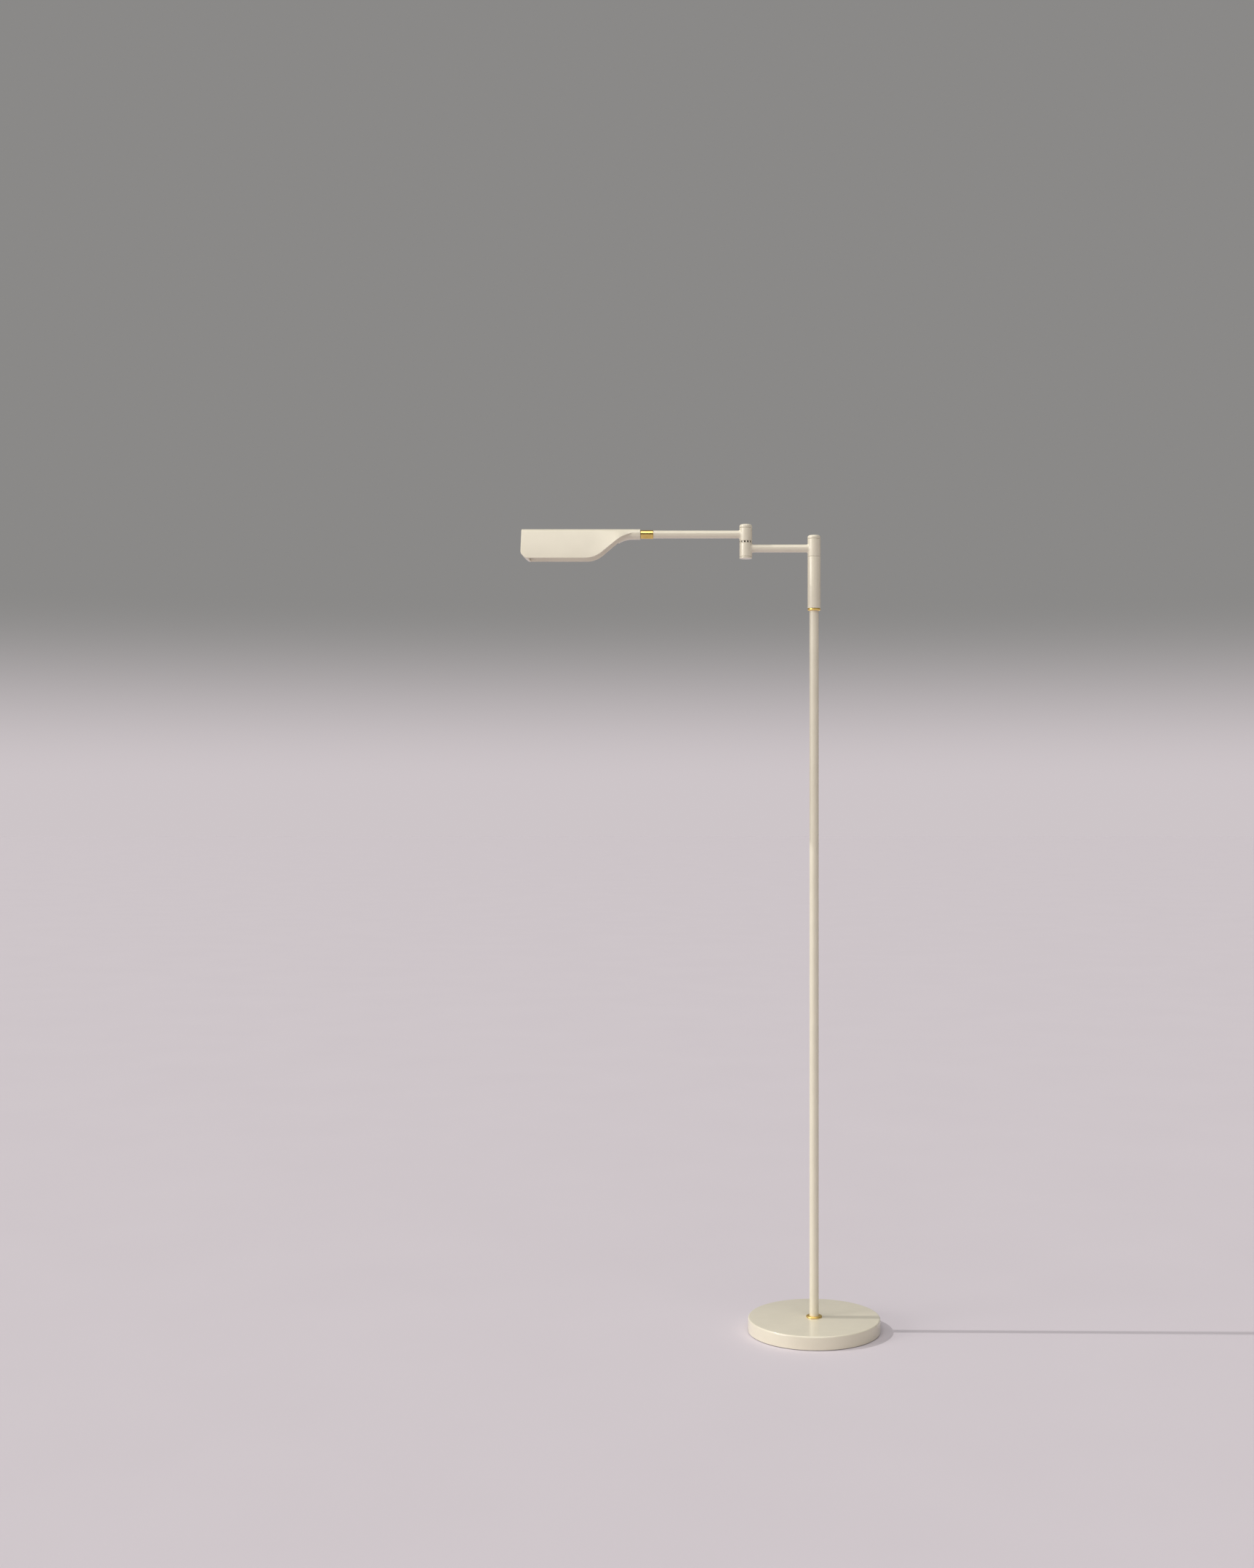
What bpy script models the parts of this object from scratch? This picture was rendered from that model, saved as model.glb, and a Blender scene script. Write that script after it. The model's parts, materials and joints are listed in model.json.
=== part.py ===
"""Adjustable arm floor lamp: weighted round base, slim pole, two-part swing arm and LED head.

Metres, +Z up. The origin is the centre of the base's underside, on the floor. The pole stands
on the Z axis. At rest both arms and the head reach straight along -X.
"""
import math

import bmesh
import bpy
from mathutils import Vector
from mathutils.geometry import interpolate_bezier

# ---- clearances -------------------------------------------------------------------------
GAP = 0.0003                # air between two pieces that touch on the real lamp
SEAM = 0.00035              # open line between two pieces that turn on each other

# ---- base -------------------------------------------------------------------------------
BASE_RADIUS = 0.115
BASE_HEIGHT = 0.024
COVER_WALL = 0.0015
COVER_EDGE_RADIUS = 0.0026
COVER_LIFT = 0.0010         # height of the cover's rim above the floor
PAD_THICKNESS = 0.0018
PAD_INSET = 0.005
WEIGHT_INSET = 0.0022       # from the cover's outer radius to the weight
NUT_POCKET_RADIUS = 0.020
NUT_POCKET_DEPTH = 0.0145
CORD_CHANNEL_WIDTH = 0.0095
CORD_CHANNEL_DEPTH = 0.0100
CORD_INLET_Z = 0.0065
BASE_WASHER_RADIUS = 0.0115
BASE_NIPPLE_RISE = 0.017    # how far the base's nipple reaches up into the pole
INLET_HOLE_RADIUS = 0.0042
FOOT_RING_RADIUS = 0.01385
FOOT_RING_HEIGHT = 0.0024

# ---- pole and sleeve --------------------------------------------------------------------
POLE_RADIUS = 0.0080
POLE_BORE = 0.0068
POLE_TOP = 1.3180
SLEEVE_RADIUS = 0.0113
SLEEVE_BORE = 0.0099
SLEEVE_BOTTOM = 1.2566
SLEEVE_TOP = 1.3463
SLEEVE_RING_HEIGHT = 0.0039
BUSH_LENGTH = 0.030
PLUG_SPIGOT_LENGTH = 0.020
FOOT_PLUG_LENGTH = 0.022
POST_NIPPLE_DROP = 0.016    # how far the post's nipple reaches down into the sleeve's plug

# ---- swing arm --------------------------------------------------------------------------
ARM_RADIUS = 0.0068
ARM_BORE = 0.0056
FLARE_RADIUS = 0.0083       # the weld flare where an arm meets its barrel
FLARE_LENGTH = 0.0030
LOWER_ARM_Z = 1.3606
UPPER_ARM_Z = 1.3850
ELBOW_X = -0.1187
KNUCKLE_RADIUS = 0.0110
BARREL_WALL = 0.0024
BARREL_FLOOR = 0.0034
BARREL_BEVEL = 0.0005
HUB_TOP = 1.3770
HUB_CAP_TOP = 1.3840
ELBOW_BOTTOM = 1.3429
LOWER_KNUCKLE_BOTTOM = 1.3461
SPACER_BOTTOM = 1.3701
SPACER_RIM = 0.0004
SPACER_TOOTH_HEIGHT = 0.0027
SPACER_WALL = 0.0012
SPACER_INSET = 0.0001       # the spacer stands back this much from the barrels
SPACER_OPENINGS = 12
SPACER_PHASE = math.radians(-11.7)
ELBOW_CAP_SEAM = 1.3960
ELBOW_TOP = 1.4028
CAP_EDGE_RADIUS = 0.0032
CAP_CROWN = 0.0007
CAP_SPIGOT = 0.0040
COLLAR_START_X = -0.2799
COLLAR_END_X = -0.3018
COLLAR_RADIUS = 0.00765
COLLAR_SPIGOT = 0.014
HEAD_NIPPLE_LENGTH = 0.030

# ---- hollow threaded nipples, nuts and washers ------------------------------------------
NIPPLE_RADIUS = 0.0040
NIPPLE_BORE = 0.0026
NIPPLE_HOLE = 0.0043
NIPPLE_PROUD = 0.001        # how far a nipple stands out of its nut
NUT_ACROSS_FLATS = 0.0130
NUT_THICKNESS = 0.0032
HEAD_NUT_ACROSS_FLATS = 0.0118
WASHER_RADIUS = 0.0078
HEAD_WASHER_RADIUS = 0.0064
WASHER_THICKNESS = 0.0007
WASHER_POCKET = 0.0010      # depth of the recess that hides a friction washer
LEAD_RADIUS = 0.0014

# ---- head -------------------------------------------------------------------------------
NECK_RADIUS = 0.00905
NECK_BORE = 0.0073
NECK_END_X = COLLAR_END_X - SEAM
NECK_FLOOR = 0.0032
NECK_EDGE_RISE = 0.0035     # how high above the neck's axis the shade's edges may start
TIP_X = -0.5085
SHADE_BOTTOM = 1.3420
SHADE_HALF_WIDTH = 0.0270
SHADE_WALL = 0.0020
SHOULDER_START_X = -0.3130  # in plan the shade widens from the neck ...
SHOULDER_END_X = -0.3450    # ... to its wings
WING_TAPER = 0.156          # how much the wings come in for each metre their edge rises
TIP_CUT = 0.0092            # the corner under the tip is cut off at 45 degrees
TIP_CUT_RADIUS = 0.0090     # fillet at both ends of the cut
TIP_CHAMFER = 0.0008
CHIN_LIP = 0.0003           # flat return of the end wall behind the cut corner
SWEEP_SLOPE = math.radians(40.2)
SWEEP_LOW_X = -0.3970       # where the side wall's lower edge leaves the flat
SWEEP_LOW_RADIUS = 0.045
SWEEP_HIGH_X = -0.3420      # where the edge's upper curve starts
SWEEP_HIGH_RADIUS = 0.0588
DROOP_START_X = -0.3160     # the neck's underside bends down from here ...
DROOP_RADIUS = 0.0441
LIP_X = -0.3400             # ... to the lip where it opens into the shade
THROAT_START_X = -0.3240    # the neck's bore grows taller from here to the lip
THROAT_MIDDLE_X = -0.3310
THROAT_MIDDLE_DROP = 0.0009
THROAT_MIDDLE_HEIGHT = 0.0081
THROAT_END_DROP = 0.0045
THROAT_END_HEIGHT = 0.0112
TRAY_ENDS = (-0.5045, -0.3955)
TRAY_MOUTH_Z = 1.3560
TRAY_TOP_Z = 1.3690
TRAY_MOUTH_HALF_WIDTH = 0.0188
TRAY_WALL = 0.0014
TRAY_LIP = 0.0014           # how far the tray's lips reach in under the diffuser
TRAY_LIP_THICKNESS = 0.0010
TRAY_LEAD_Z = 1.3625        # where the supply lead enters the tray's rear end
DIFFUSER_THICKNESS = 0.0020
BOARD_THICKNESS = 0.0016
BOARD_HALF_WIDTH = 0.0095
LED_COUNT = 10
LED_SIZE = 0.0030
LED_HEIGHT = 0.0008
SCREW_X = (-0.406, -0.4965)
BOSS_RADIUS = 0.0040
SCREW_RADIUS = 0.0014
SCREW_HOLE = 0.0017
SCREW_LENGTH = 0.0130
SCREW_HEAD_RADIUS = 0.0027
SCREW_HEAD_HEIGHT = 0.0018

# ---- resolution -------------------------------------------------------------------------
ROUND_BASE = 64
ROUND_TUBE = 28
ROUND_SMALL = 20
FILLET_STEPS = 3
SECTION_STEPS = 14          # steps over the ridge, and again over the underside


# ---- scene and materials ----------------------------------------------------------------
def clear_scene():
    for item in list(bpy.data.objects):
        bpy.data.objects.remove(item, do_unlink=True)


def make_material(name, colour, roughness, metallic=0.0):
    material = bpy.data.materials.new(name)
    material.use_nodes = True
    shader = material.node_tree.nodes["Principled BSDF"]
    shader.inputs["Base Color"].default_value = (*colour, 1.0)
    shader.inputs["Roughness"].default_value = roughness
    shader.inputs["Metallic"].default_value = metallic
    return material


def make_materials():
    return {
        "cream_paint": make_material("cream_paint", (0.74, 0.68, 0.55), 0.38),
        "brass": make_material("brass", (0.83, 0.62, 0.20), 0.20, 1.0),
        "cast_iron": make_material("cast_iron", (0.10, 0.10, 0.11), 0.70, 0.8),
        "zinc_steel": make_material("zinc_steel", (0.62, 0.62, 0.64), 0.35, 1.0),
        "aluminium": make_material("aluminium", (0.80, 0.80, 0.82), 0.40, 1.0),
        "black_nylon": make_material("black_nylon", (0.02, 0.02, 0.02), 0.25),
        "grey_foam": make_material("grey_foam", (0.12, 0.12, 0.12), 0.90),
        "opal_acrylic": make_material("opal_acrylic", (0.92, 0.92, 0.90), 0.35),
        "board_white": make_material("board_white", (0.90, 0.91, 0.90), 0.45),
        "lead_white": make_material("lead_white", (0.80, 0.80, 0.78), 0.55),
    }


def make_frame(name, location, parent=None):
    """An empty that stands for a body; a moving body's empty lies on its joint's axis."""
    frame = bpy.data.objects.new(name, None)
    bpy.context.collection.objects.link(frame)
    frame["at"] = location
    frame.location = Vector(location)
    if parent:
        frame.parent = parent
        frame.location = Vector(location) - Vector(parent["at"])
    return frame


def place(piece, material, frame, at, turn=(0.0, 0.0, 0.0)):
    """Put a piece on its body's empty. The place is given in the lamp's own frame."""
    piece.data.materials.append(material)
    piece.parent = frame
    piece.location = Vector(at) - Vector(frame["at"])
    piece.rotation_euler = turn
    return piece


ALONG_MINUS_X = (0.0, -math.pi / 2, 0.0)
ALONG_PLUS_Y = (-math.pi / 2, 0.0, 0.0)


# ---- shape helpers ----------------------------------------------------------------------
def arc_points(centre, radius, start, end, steps):
    """Points on an arc, ends included; angles in radians."""
    return [(centre[0] + radius * math.cos(start + (end - start) * i / steps),
             centre[1] + radius * math.sin(start + (end - start) * i / steps))
            for i in range(steps + 1)]


def soften(corners, closed=True, steps=FILLET_STEPS):
    """An outline whose corners may carry a fillet radius as their third value."""
    points = []
    count = len(corners)
    for index, corner in enumerate(corners):
        here = Vector(corner[:2])
        at_end = not closed and index in (0, count - 1)
        if len(corner) < 3 or at_end:
            points.append(tuple(here))
            continue
        before = (Vector(corners[index - 1][:2]) - here).normalized()
        after = (Vector(corners[(index + 1) % count][:2]) - here).normalized()
        half = before.angle(after) / 2
        reach = corner[2] / math.tan(half)
        centre = here + (before + after).normalized() * corner[2] / math.sin(half)
        first = here + before * reach - centre
        last = here + after * reach - centre
        sweep = math.atan2(first.cross(last), first.dot(last))
        start = math.atan2(first.y, first.x)
        points += arc_points(centre, corner[2], start, start + sweep, steps)
    return points


def loft(rings, closed_ends=True, ring_of_rings=False):
    """Skin a list of equal rings of points into one closed surface."""
    shape = bmesh.new()
    loops = [[shape.verts.new(point) for point in ring] for ring in rings]
    pairs = list(zip(loops, loops[1:]))
    if ring_of_rings:
        pairs.append((loops[-1], loops[0]))
    for one, two in pairs:
        for index in range(len(one)):
            after = (index + 1) % len(one)
            shape.faces.new((one[index], one[after], two[after], two[index]))
    if closed_ends and not ring_of_rings:
        shape.faces.new(loops[0])
        shape.faces.new(loops[-1])
    return shape


def turned(profile, segments):
    """Turn a profile of (radius, height) about Z. It is a closed loop, or it runs axis to axis."""
    shape = bmesh.new()
    loops = []
    for radius, height in profile:
        if radius == 0.0:
            loops.append([shape.verts.new((0.0, 0.0, height))])
            continue
        loops.append([shape.verts.new((radius * math.cos(2 * math.pi * i / segments),
                                       radius * math.sin(2 * math.pi * i / segments), height))
                      for i in range(segments)])
    pairs = list(zip(loops, loops[1:]))
    if profile[0][0] > 0.0:
        pairs.append((loops[-1], loops[0]))
    for one, two in pairs:
        for index in range(segments):
            after = (index + 1) % segments
            corners = [one[index % len(one)], one[after % len(one)],
                       two[after % len(two)], two[index % len(two)]]
            shape.faces.new(list(dict.fromkeys(corners)))
    return shape


def box_shape(low, high):
    shape = bmesh.new()
    bmesh.ops.create_cube(shape, size=1.0)
    low, high = Vector(low), Vector(high)
    for vertex in shape.verts:
        vertex.co = Vector(((low[i] + high[i]) / 2 + vertex.co[i] * (high[i] - low[i])
                            for i in range(3)))
    return shape


def to_object(name, shape, smooth_angle=35.0):
    """Turn a bmesh into a named object with outward faces and smooth round sides."""
    bmesh.ops.remove_doubles(shape, verts=shape.verts, dist=1e-6)
    bmesh.ops.recalc_face_normals(shape, faces=shape.faces)
    mesh = bpy.data.meshes.new(name)
    shape.to_mesh(mesh)
    shape.free()
    mesh.shade_smooth()
    mesh.set_sharp_from_angle(angle=math.radians(smooth_angle))
    piece = bpy.data.objects.new(name, mesh)
    bpy.context.collection.objects.link(piece)
    return piece


def add_boolean(piece, tool, operation):
    """Cut or join with a guide object, which isn't part of the lamp."""
    tool.hide_render = True
    tool.display_type = "WIRE"
    tool.parent = piece.parent
    modifier = piece.modifiers.new(operation.lower(), "BOOLEAN")
    modifier.operation = operation
    modifier.solver = "EXACT"
    modifier.object = tool


def guide(shape, frame, at=(0.0, 0.0, 0.0), turn=(0.0, 0.0, 0.0)):
    tool = to_object("guide", shape)
    tool.parent = frame
    tool.location = Vector(at) - Vector(frame["at"])
    tool.rotation_euler = turn
    return tool


def rod_guide(radius, length, frame, at, turn=(0.0, 0.0, 0.0), segments=ROUND_TUBE):
    """A plain round cutter that starts at a point and runs along its own Z."""
    profile = [(0.0, 0.0), (radius, 0.0), (radius, length), (0.0, length)]
    return guide(turned(profile, segments), frame, at, turn)


# ---- common pieces ----------------------------------------------------------------------
def tube(name, radius, bore, length, segments=ROUND_SMALL):
    profile = [(bore, 0.0), (radius, 0.0), (radius, length), (bore, length)]
    return to_object(name, turned(profile, segments))


def hex_nut(name, across_flats, thickness):
    """A hexagon with a round hole: the outer ring follows the flats, the inner ring the hole."""
    sides, per_side = 6, 3
    outer = []
    for index in range(sides * per_side):
        angle = 2 * math.pi * index / (sides * per_side)
        from_flat = (angle % (math.pi / 3)) - math.pi / 6
        radius = across_flats / 2 / math.cos(from_flat)
        outer.append((radius * math.cos(angle), radius * math.sin(angle)))
    inner = arc_points((0.0, 0.0), NIPPLE_HOLE, 0.0, 2 * math.pi, sides * per_side)[:-1]
    rings = [[(x, y, height) for x, y in ring]
             for ring, height in ((inner, 0.0), (outer, 0.0), (outer, thickness),
                                  (inner, thickness))]
    return to_object(name, loft(rings, ring_of_rings=True))


def barrel(name, radius, bottom, top, opening_up, pocket):
    """A cup-shaped joint barrel with a drilled floor; its open end is closed by a cap."""
    height = top - bottom
    bore = radius - BARREL_WALL
    pocket_depth = WASHER_POCKET if pocket else 0.0
    corners = [
        (NIPPLE_HOLE, pocket_depth), (NIPPLE_HOLE, BARREL_FLOOR), (bore, BARREL_FLOOR),
        (bore, height), (radius - BARREL_BEVEL, height), (radius, height - BARREL_BEVEL),
        (radius, 0.0)]
    if pocket:
        corners += [(WASHER_RADIUS + 2 * GAP, 0.0), (WASHER_RADIUS + 2 * GAP, pocket_depth)]
    else:
        corners += [(NIPPLE_HOLE, 0.0)]
    profile = [(r, z if opening_up else height - z) for r, z in soften(corners)]
    unique = list(dict.fromkeys(profile))
    return to_object(name, turned(unique, ROUND_TUBE))


def domed_cap(name, radius, height):
    """A cap with a softly crowned top, a bevelled foot and a spigot that enters the barrel."""
    spigot = radius - BARREL_WALL - GAP
    profile = soften([
        (0.0, -CAP_SPIGOT), (spigot, -CAP_SPIGOT), (spigot, 0.0),
        (radius - BARREL_BEVEL, 0.0), (radius, BARREL_BEVEL),
        (radius, height - CAP_CROWN, CAP_EDGE_RADIUS), (0.0, height)], closed=False)
    return to_object(name, turned(profile, ROUND_TUBE))


def arm_tube(name, start, length, flares):
    """A painted arm along its own Z, flared where it is welded to a barrel."""
    low, high = start, start + length
    outer = []
    if "start" in flares:
        outer += arc_points((FLARE_RADIUS, low + FLARE_LENGTH), FLARE_LENGTH,
                            -math.pi / 2, -math.pi, FILLET_STEPS)
        outer = [(ARM_RADIUS + (r - FLARE_RADIUS + FLARE_LENGTH) / FLARE_LENGTH
                  * (FLARE_RADIUS - ARM_RADIUS), z) for r, z in outer]
        outer.insert(0, (FLARE_RADIUS, low - FLARE_RADIUS))
    else:
        outer.append((ARM_RADIUS, low))
    if "end" in flares:
        mirrored = arc_points((FLARE_RADIUS, high - FLARE_LENGTH), FLARE_LENGTH,
                              math.pi, math.pi / 2, FILLET_STEPS)
        outer += [(ARM_RADIUS + (r - FLARE_RADIUS + FLARE_LENGTH) / FLARE_LENGTH
                   * (FLARE_RADIUS - ARM_RADIUS), z) for r, z in mirrored]
        outer.append((FLARE_RADIUS, high + FLARE_RADIUS))
    else:
        outer.append((ARM_RADIUS, high))
    profile = [(ARM_BORE, outer[0][1])] + outer + [(ARM_BORE, outer[-1][1])]
    return to_object(name, turned(profile, ROUND_TUBE))


def lead(name, route, bend, material, frame):
    """A supply lead: a round wire along a route with bent corners."""
    points = [Vector(route[0])]
    for before, corner, after in zip(route, route[1:], route[2:]):
        before, corner, after = Vector(before), Vector(corner), Vector(after)
        start = corner + (before - corner).normalized() * min(bend, (before - corner).length / 2)
        end = corner + (after - corner).normalized() * min(bend, (after - corner).length / 2)
        points += interpolate_bezier(start, start.lerp(corner, 0.6), end.lerp(corner, 0.6),
                                     end, FILLET_STEPS + 1)
    points.append(Vector(route[-1]))
    curve = bpy.data.curves.new(name, "CURVE")
    curve.dimensions = "3D"
    curve.bevel_depth = LEAD_RADIUS
    curve.bevel_resolution = 1
    curve.use_fill_caps = True
    spline = curve.splines.new("POLY")
    spline.points.add(len(points) - 1)
    for target, point in zip(spline.points, points):
        target.co = (*(point - Vector(frame["at"])), 1.0)
    piece = bpy.data.objects.new(name, curve)
    bpy.context.collection.objects.link(piece)
    return place(piece, material, frame, frame["at"])


# ---- base -------------------------------------------------------------------------------
def build_base(stand, materials):
    pad_radius = BASE_RADIUS - PAD_INSET
    pad = to_object("floor_pad", turned(
        [(0.0, 0.0), (pad_radius, 0.0), (pad_radius, PAD_THICKNESS), (0.0, PAD_THICKNESS)],
        ROUND_BASE))
    place(pad, materials["grey_foam"], stand, (0.0, 0.0, 0.0))

    inner = BASE_RADIUS - COVER_WALL
    cover = to_object("base_cover", turned(soften([
        (NIPPLE_HOLE, BASE_HEIGHT - COVER_WALL), (NIPPLE_HOLE, BASE_HEIGHT),
        (BASE_RADIUS, BASE_HEIGHT, COVER_EDGE_RADIUS), (BASE_RADIUS, COVER_LIFT),
        (inner, COVER_LIFT), (inner, BASE_HEIGHT - COVER_WALL)]), ROUND_BASE))
    place(cover, materials["cream_paint"], stand, (0.0, 0.0, 0.0))
    inlet_hole = rod_guide(INLET_HOLE_RADIUS, 0.020, stand, (0.0, BASE_RADIUS - 0.010, CORD_INLET_Z),
                           ALONG_PLUS_Y, ROUND_SMALL)
    add_boolean(cover, inlet_hole, "DIFFERENCE")

    weight_bottom = PAD_THICKNESS + GAP
    weight_top = BASE_HEIGHT - COVER_WALL - GAP
    pocket_top = weight_bottom + NUT_POCKET_DEPTH
    weight_radius = BASE_RADIUS - WEIGHT_INSET
    weight = to_object("base_weight", turned([
        (NIPPLE_HOLE, weight_top), (NIPPLE_HOLE, pocket_top), (NUT_POCKET_RADIUS, pocket_top),
        (NUT_POCKET_RADIUS, weight_bottom), (weight_radius, weight_bottom),
        (weight_radius, weight_top - 0.002), (weight_radius - 0.002, weight_top)], ROUND_BASE))
    place(weight, materials["cast_iron"], stand, (0.0, 0.0, 0.0))
    half = CORD_CHANNEL_WIDTH / 2
    channel = guide(box_shape((-half, 0.010, weight_bottom - 0.001),
                              (half, BASE_RADIUS, weight_bottom + CORD_CHANNEL_DEPTH)), stand)
    add_boolean(weight, channel, "DIFFERENCE")

    grommet = to_object("cord_grommet", turned(soften([
        (0.0020, -0.0050), (0.0036, -0.0050), (0.0039, -0.0005), (0.0039, 0.0008),
        (0.0054, 0.0008), (0.0054, 0.0024, 0.0007), (0.0020, 0.0024)]), ROUND_SMALL))
    place(grommet, materials["black_nylon"], stand,
          (0.0, BASE_RADIUS - 0.0002, CORD_INLET_Z), ALONG_PLUS_Y)

    washer_z = pocket_top - GAP - WASHER_THICKNESS * 2
    washer = tube("base_washer", BASE_WASHER_RADIUS, NIPPLE_HOLE, WASHER_THICKNESS * 2)
    place(washer, materials["zinc_steel"], stand, (0.0, 0.0, washer_z))
    nut_z = washer_z - GAP - NUT_THICKNESS
    nut = hex_nut("base_nut", NUT_ACROSS_FLATS, NUT_THICKNESS)
    place(nut, materials["zinc_steel"], stand, (0.0, 0.0, nut_z))
    nipple_bottom = nut_z - 0.001
    nipple = tube("base_nipple", NIPPLE_RADIUS, NIPPLE_BORE,
                  BASE_HEIGHT + BASE_NIPPLE_RISE - nipple_bottom)
    place(nipple, materials["zinc_steel"], stand, (0.0, 0.0, nipple_bottom))

    ring = to_object("foot_ring", turned(soften([
        (POLE_RADIUS + GAP, 0.0), (FOOT_RING_RADIUS, 0.0, 0.0008),
        (FOOT_RING_RADIUS, FOOT_RING_HEIGHT, 0.0014), (POLE_RADIUS + GAP, FOOT_RING_HEIGHT)]),
        ROUND_TUBE))
    place(ring, materials["brass"], stand, (0.0, 0.0, BASE_HEIGHT + GAP))


# ---- pole, sleeve and the swivel on top of it --------------------------------------------
def build_pole(stand, materials):
    pole_bottom = BASE_HEIGHT + GAP
    pole = tube("pole_tube", POLE_RADIUS, POLE_BORE, POLE_TOP - pole_bottom, ROUND_TUBE)
    place(pole, materials["cream_paint"], stand, (0.0, 0.0, pole_bottom))
    plug = tube("pole_foot_plug", POLE_BORE - GAP, NIPPLE_HOLE, FOOT_PLUG_LENGTH)
    place(plug, materials["zinc_steel"], stand, (0.0, 0.0, pole_bottom))

    ring = to_object("sleeve_ring", turned(soften([
        (POLE_RADIUS + GAP, 0.0), (SLEEVE_RADIUS - 0.0002, 0.0, 0.0014),
        (SLEEVE_RADIUS - 0.0002, SLEEVE_RING_HEIGHT), (POLE_RADIUS + GAP, SLEEVE_RING_HEIGHT)]),
        ROUND_TUBE))
    place(ring, materials["brass"], stand, (0.0, 0.0, SLEEVE_BOTTOM - GAP - SLEEVE_RING_HEIGHT))
    sleeve = tube("upper_sleeve", SLEEVE_RADIUS, SLEEVE_BORE, SLEEVE_TOP - SLEEVE_BOTTOM,
                  ROUND_TUBE)
    place(sleeve, materials["cream_paint"], stand, (0.0, 0.0, SLEEVE_BOTTOM))
    bush = tube("sleeve_bush", SLEEVE_BORE - GAP, POLE_RADIUS + GAP, BUSH_LENGTH)
    place(bush, materials["black_nylon"], stand, (0.0, 0.0, SLEEVE_BOTTOM + 0.001))

    shoulder = POLE_TOP + GAP
    socket_plug = to_object("sleeve_plug", turned([
        (NIPPLE_HOLE, shoulder - PLUG_SPIGOT_LENGTH), (POLE_BORE - GAP, shoulder - PLUG_SPIGOT_LENGTH),
        (POLE_BORE - GAP, shoulder), (SLEEVE_BORE - GAP, shoulder),
        (SLEEVE_BORE - GAP, SLEEVE_TOP), (NIPPLE_HOLE, SLEEVE_TOP)], ROUND_TUBE))
    place(socket_plug, materials["zinc_steel"], stand, (0.0, 0.0, 0.0))

    friction = tube("post_friction_washer", WASHER_RADIUS, NIPPLE_HOLE, WASHER_THICKNESS)
    place(friction, materials["black_nylon"], stand, (0.0, 0.0, SLEEVE_TOP + GAP))
    floor_top = SLEEVE_TOP + SEAM + BARREL_FLOOR
    nipple_and_nut("post", 0.0, SLEEVE_TOP - POST_NIPPLE_DROP, floor_top, stand, materials)


def nipple_and_nut(joint, x, nipple_bottom, floor_top, frame, materials):
    """A hollow nipple through a barrel's floor, with the spring washer and nut that hold it."""
    spring = tube(f"{joint}_spring_washer", WASHER_RADIUS, NIPPLE_HOLE, WASHER_THICKNESS)
    place(spring, materials["zinc_steel"], frame, (x, 0.0, floor_top + GAP))
    nut_z = floor_top + 2 * GAP + WASHER_THICKNESS
    nut = hex_nut(f"{joint}_nut", NUT_ACROSS_FLATS, NUT_THICKNESS)
    place(nut, materials["zinc_steel"], frame, (x, 0.0, nut_z))
    nipple_top = nipple_top_above(floor_top)
    nipple = tube(f"{joint}_nipple", NIPPLE_RADIUS, NIPPLE_BORE, nipple_top - nipple_bottom)
    place(nipple, materials["zinc_steel"], frame, (x, 0.0, nipple_bottom))


def nipple_top_above(floor_top):
    return floor_top + 2 * GAP + WASHER_THICKNESS + NUT_THICKNESS + NIPPLE_PROUD


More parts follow.
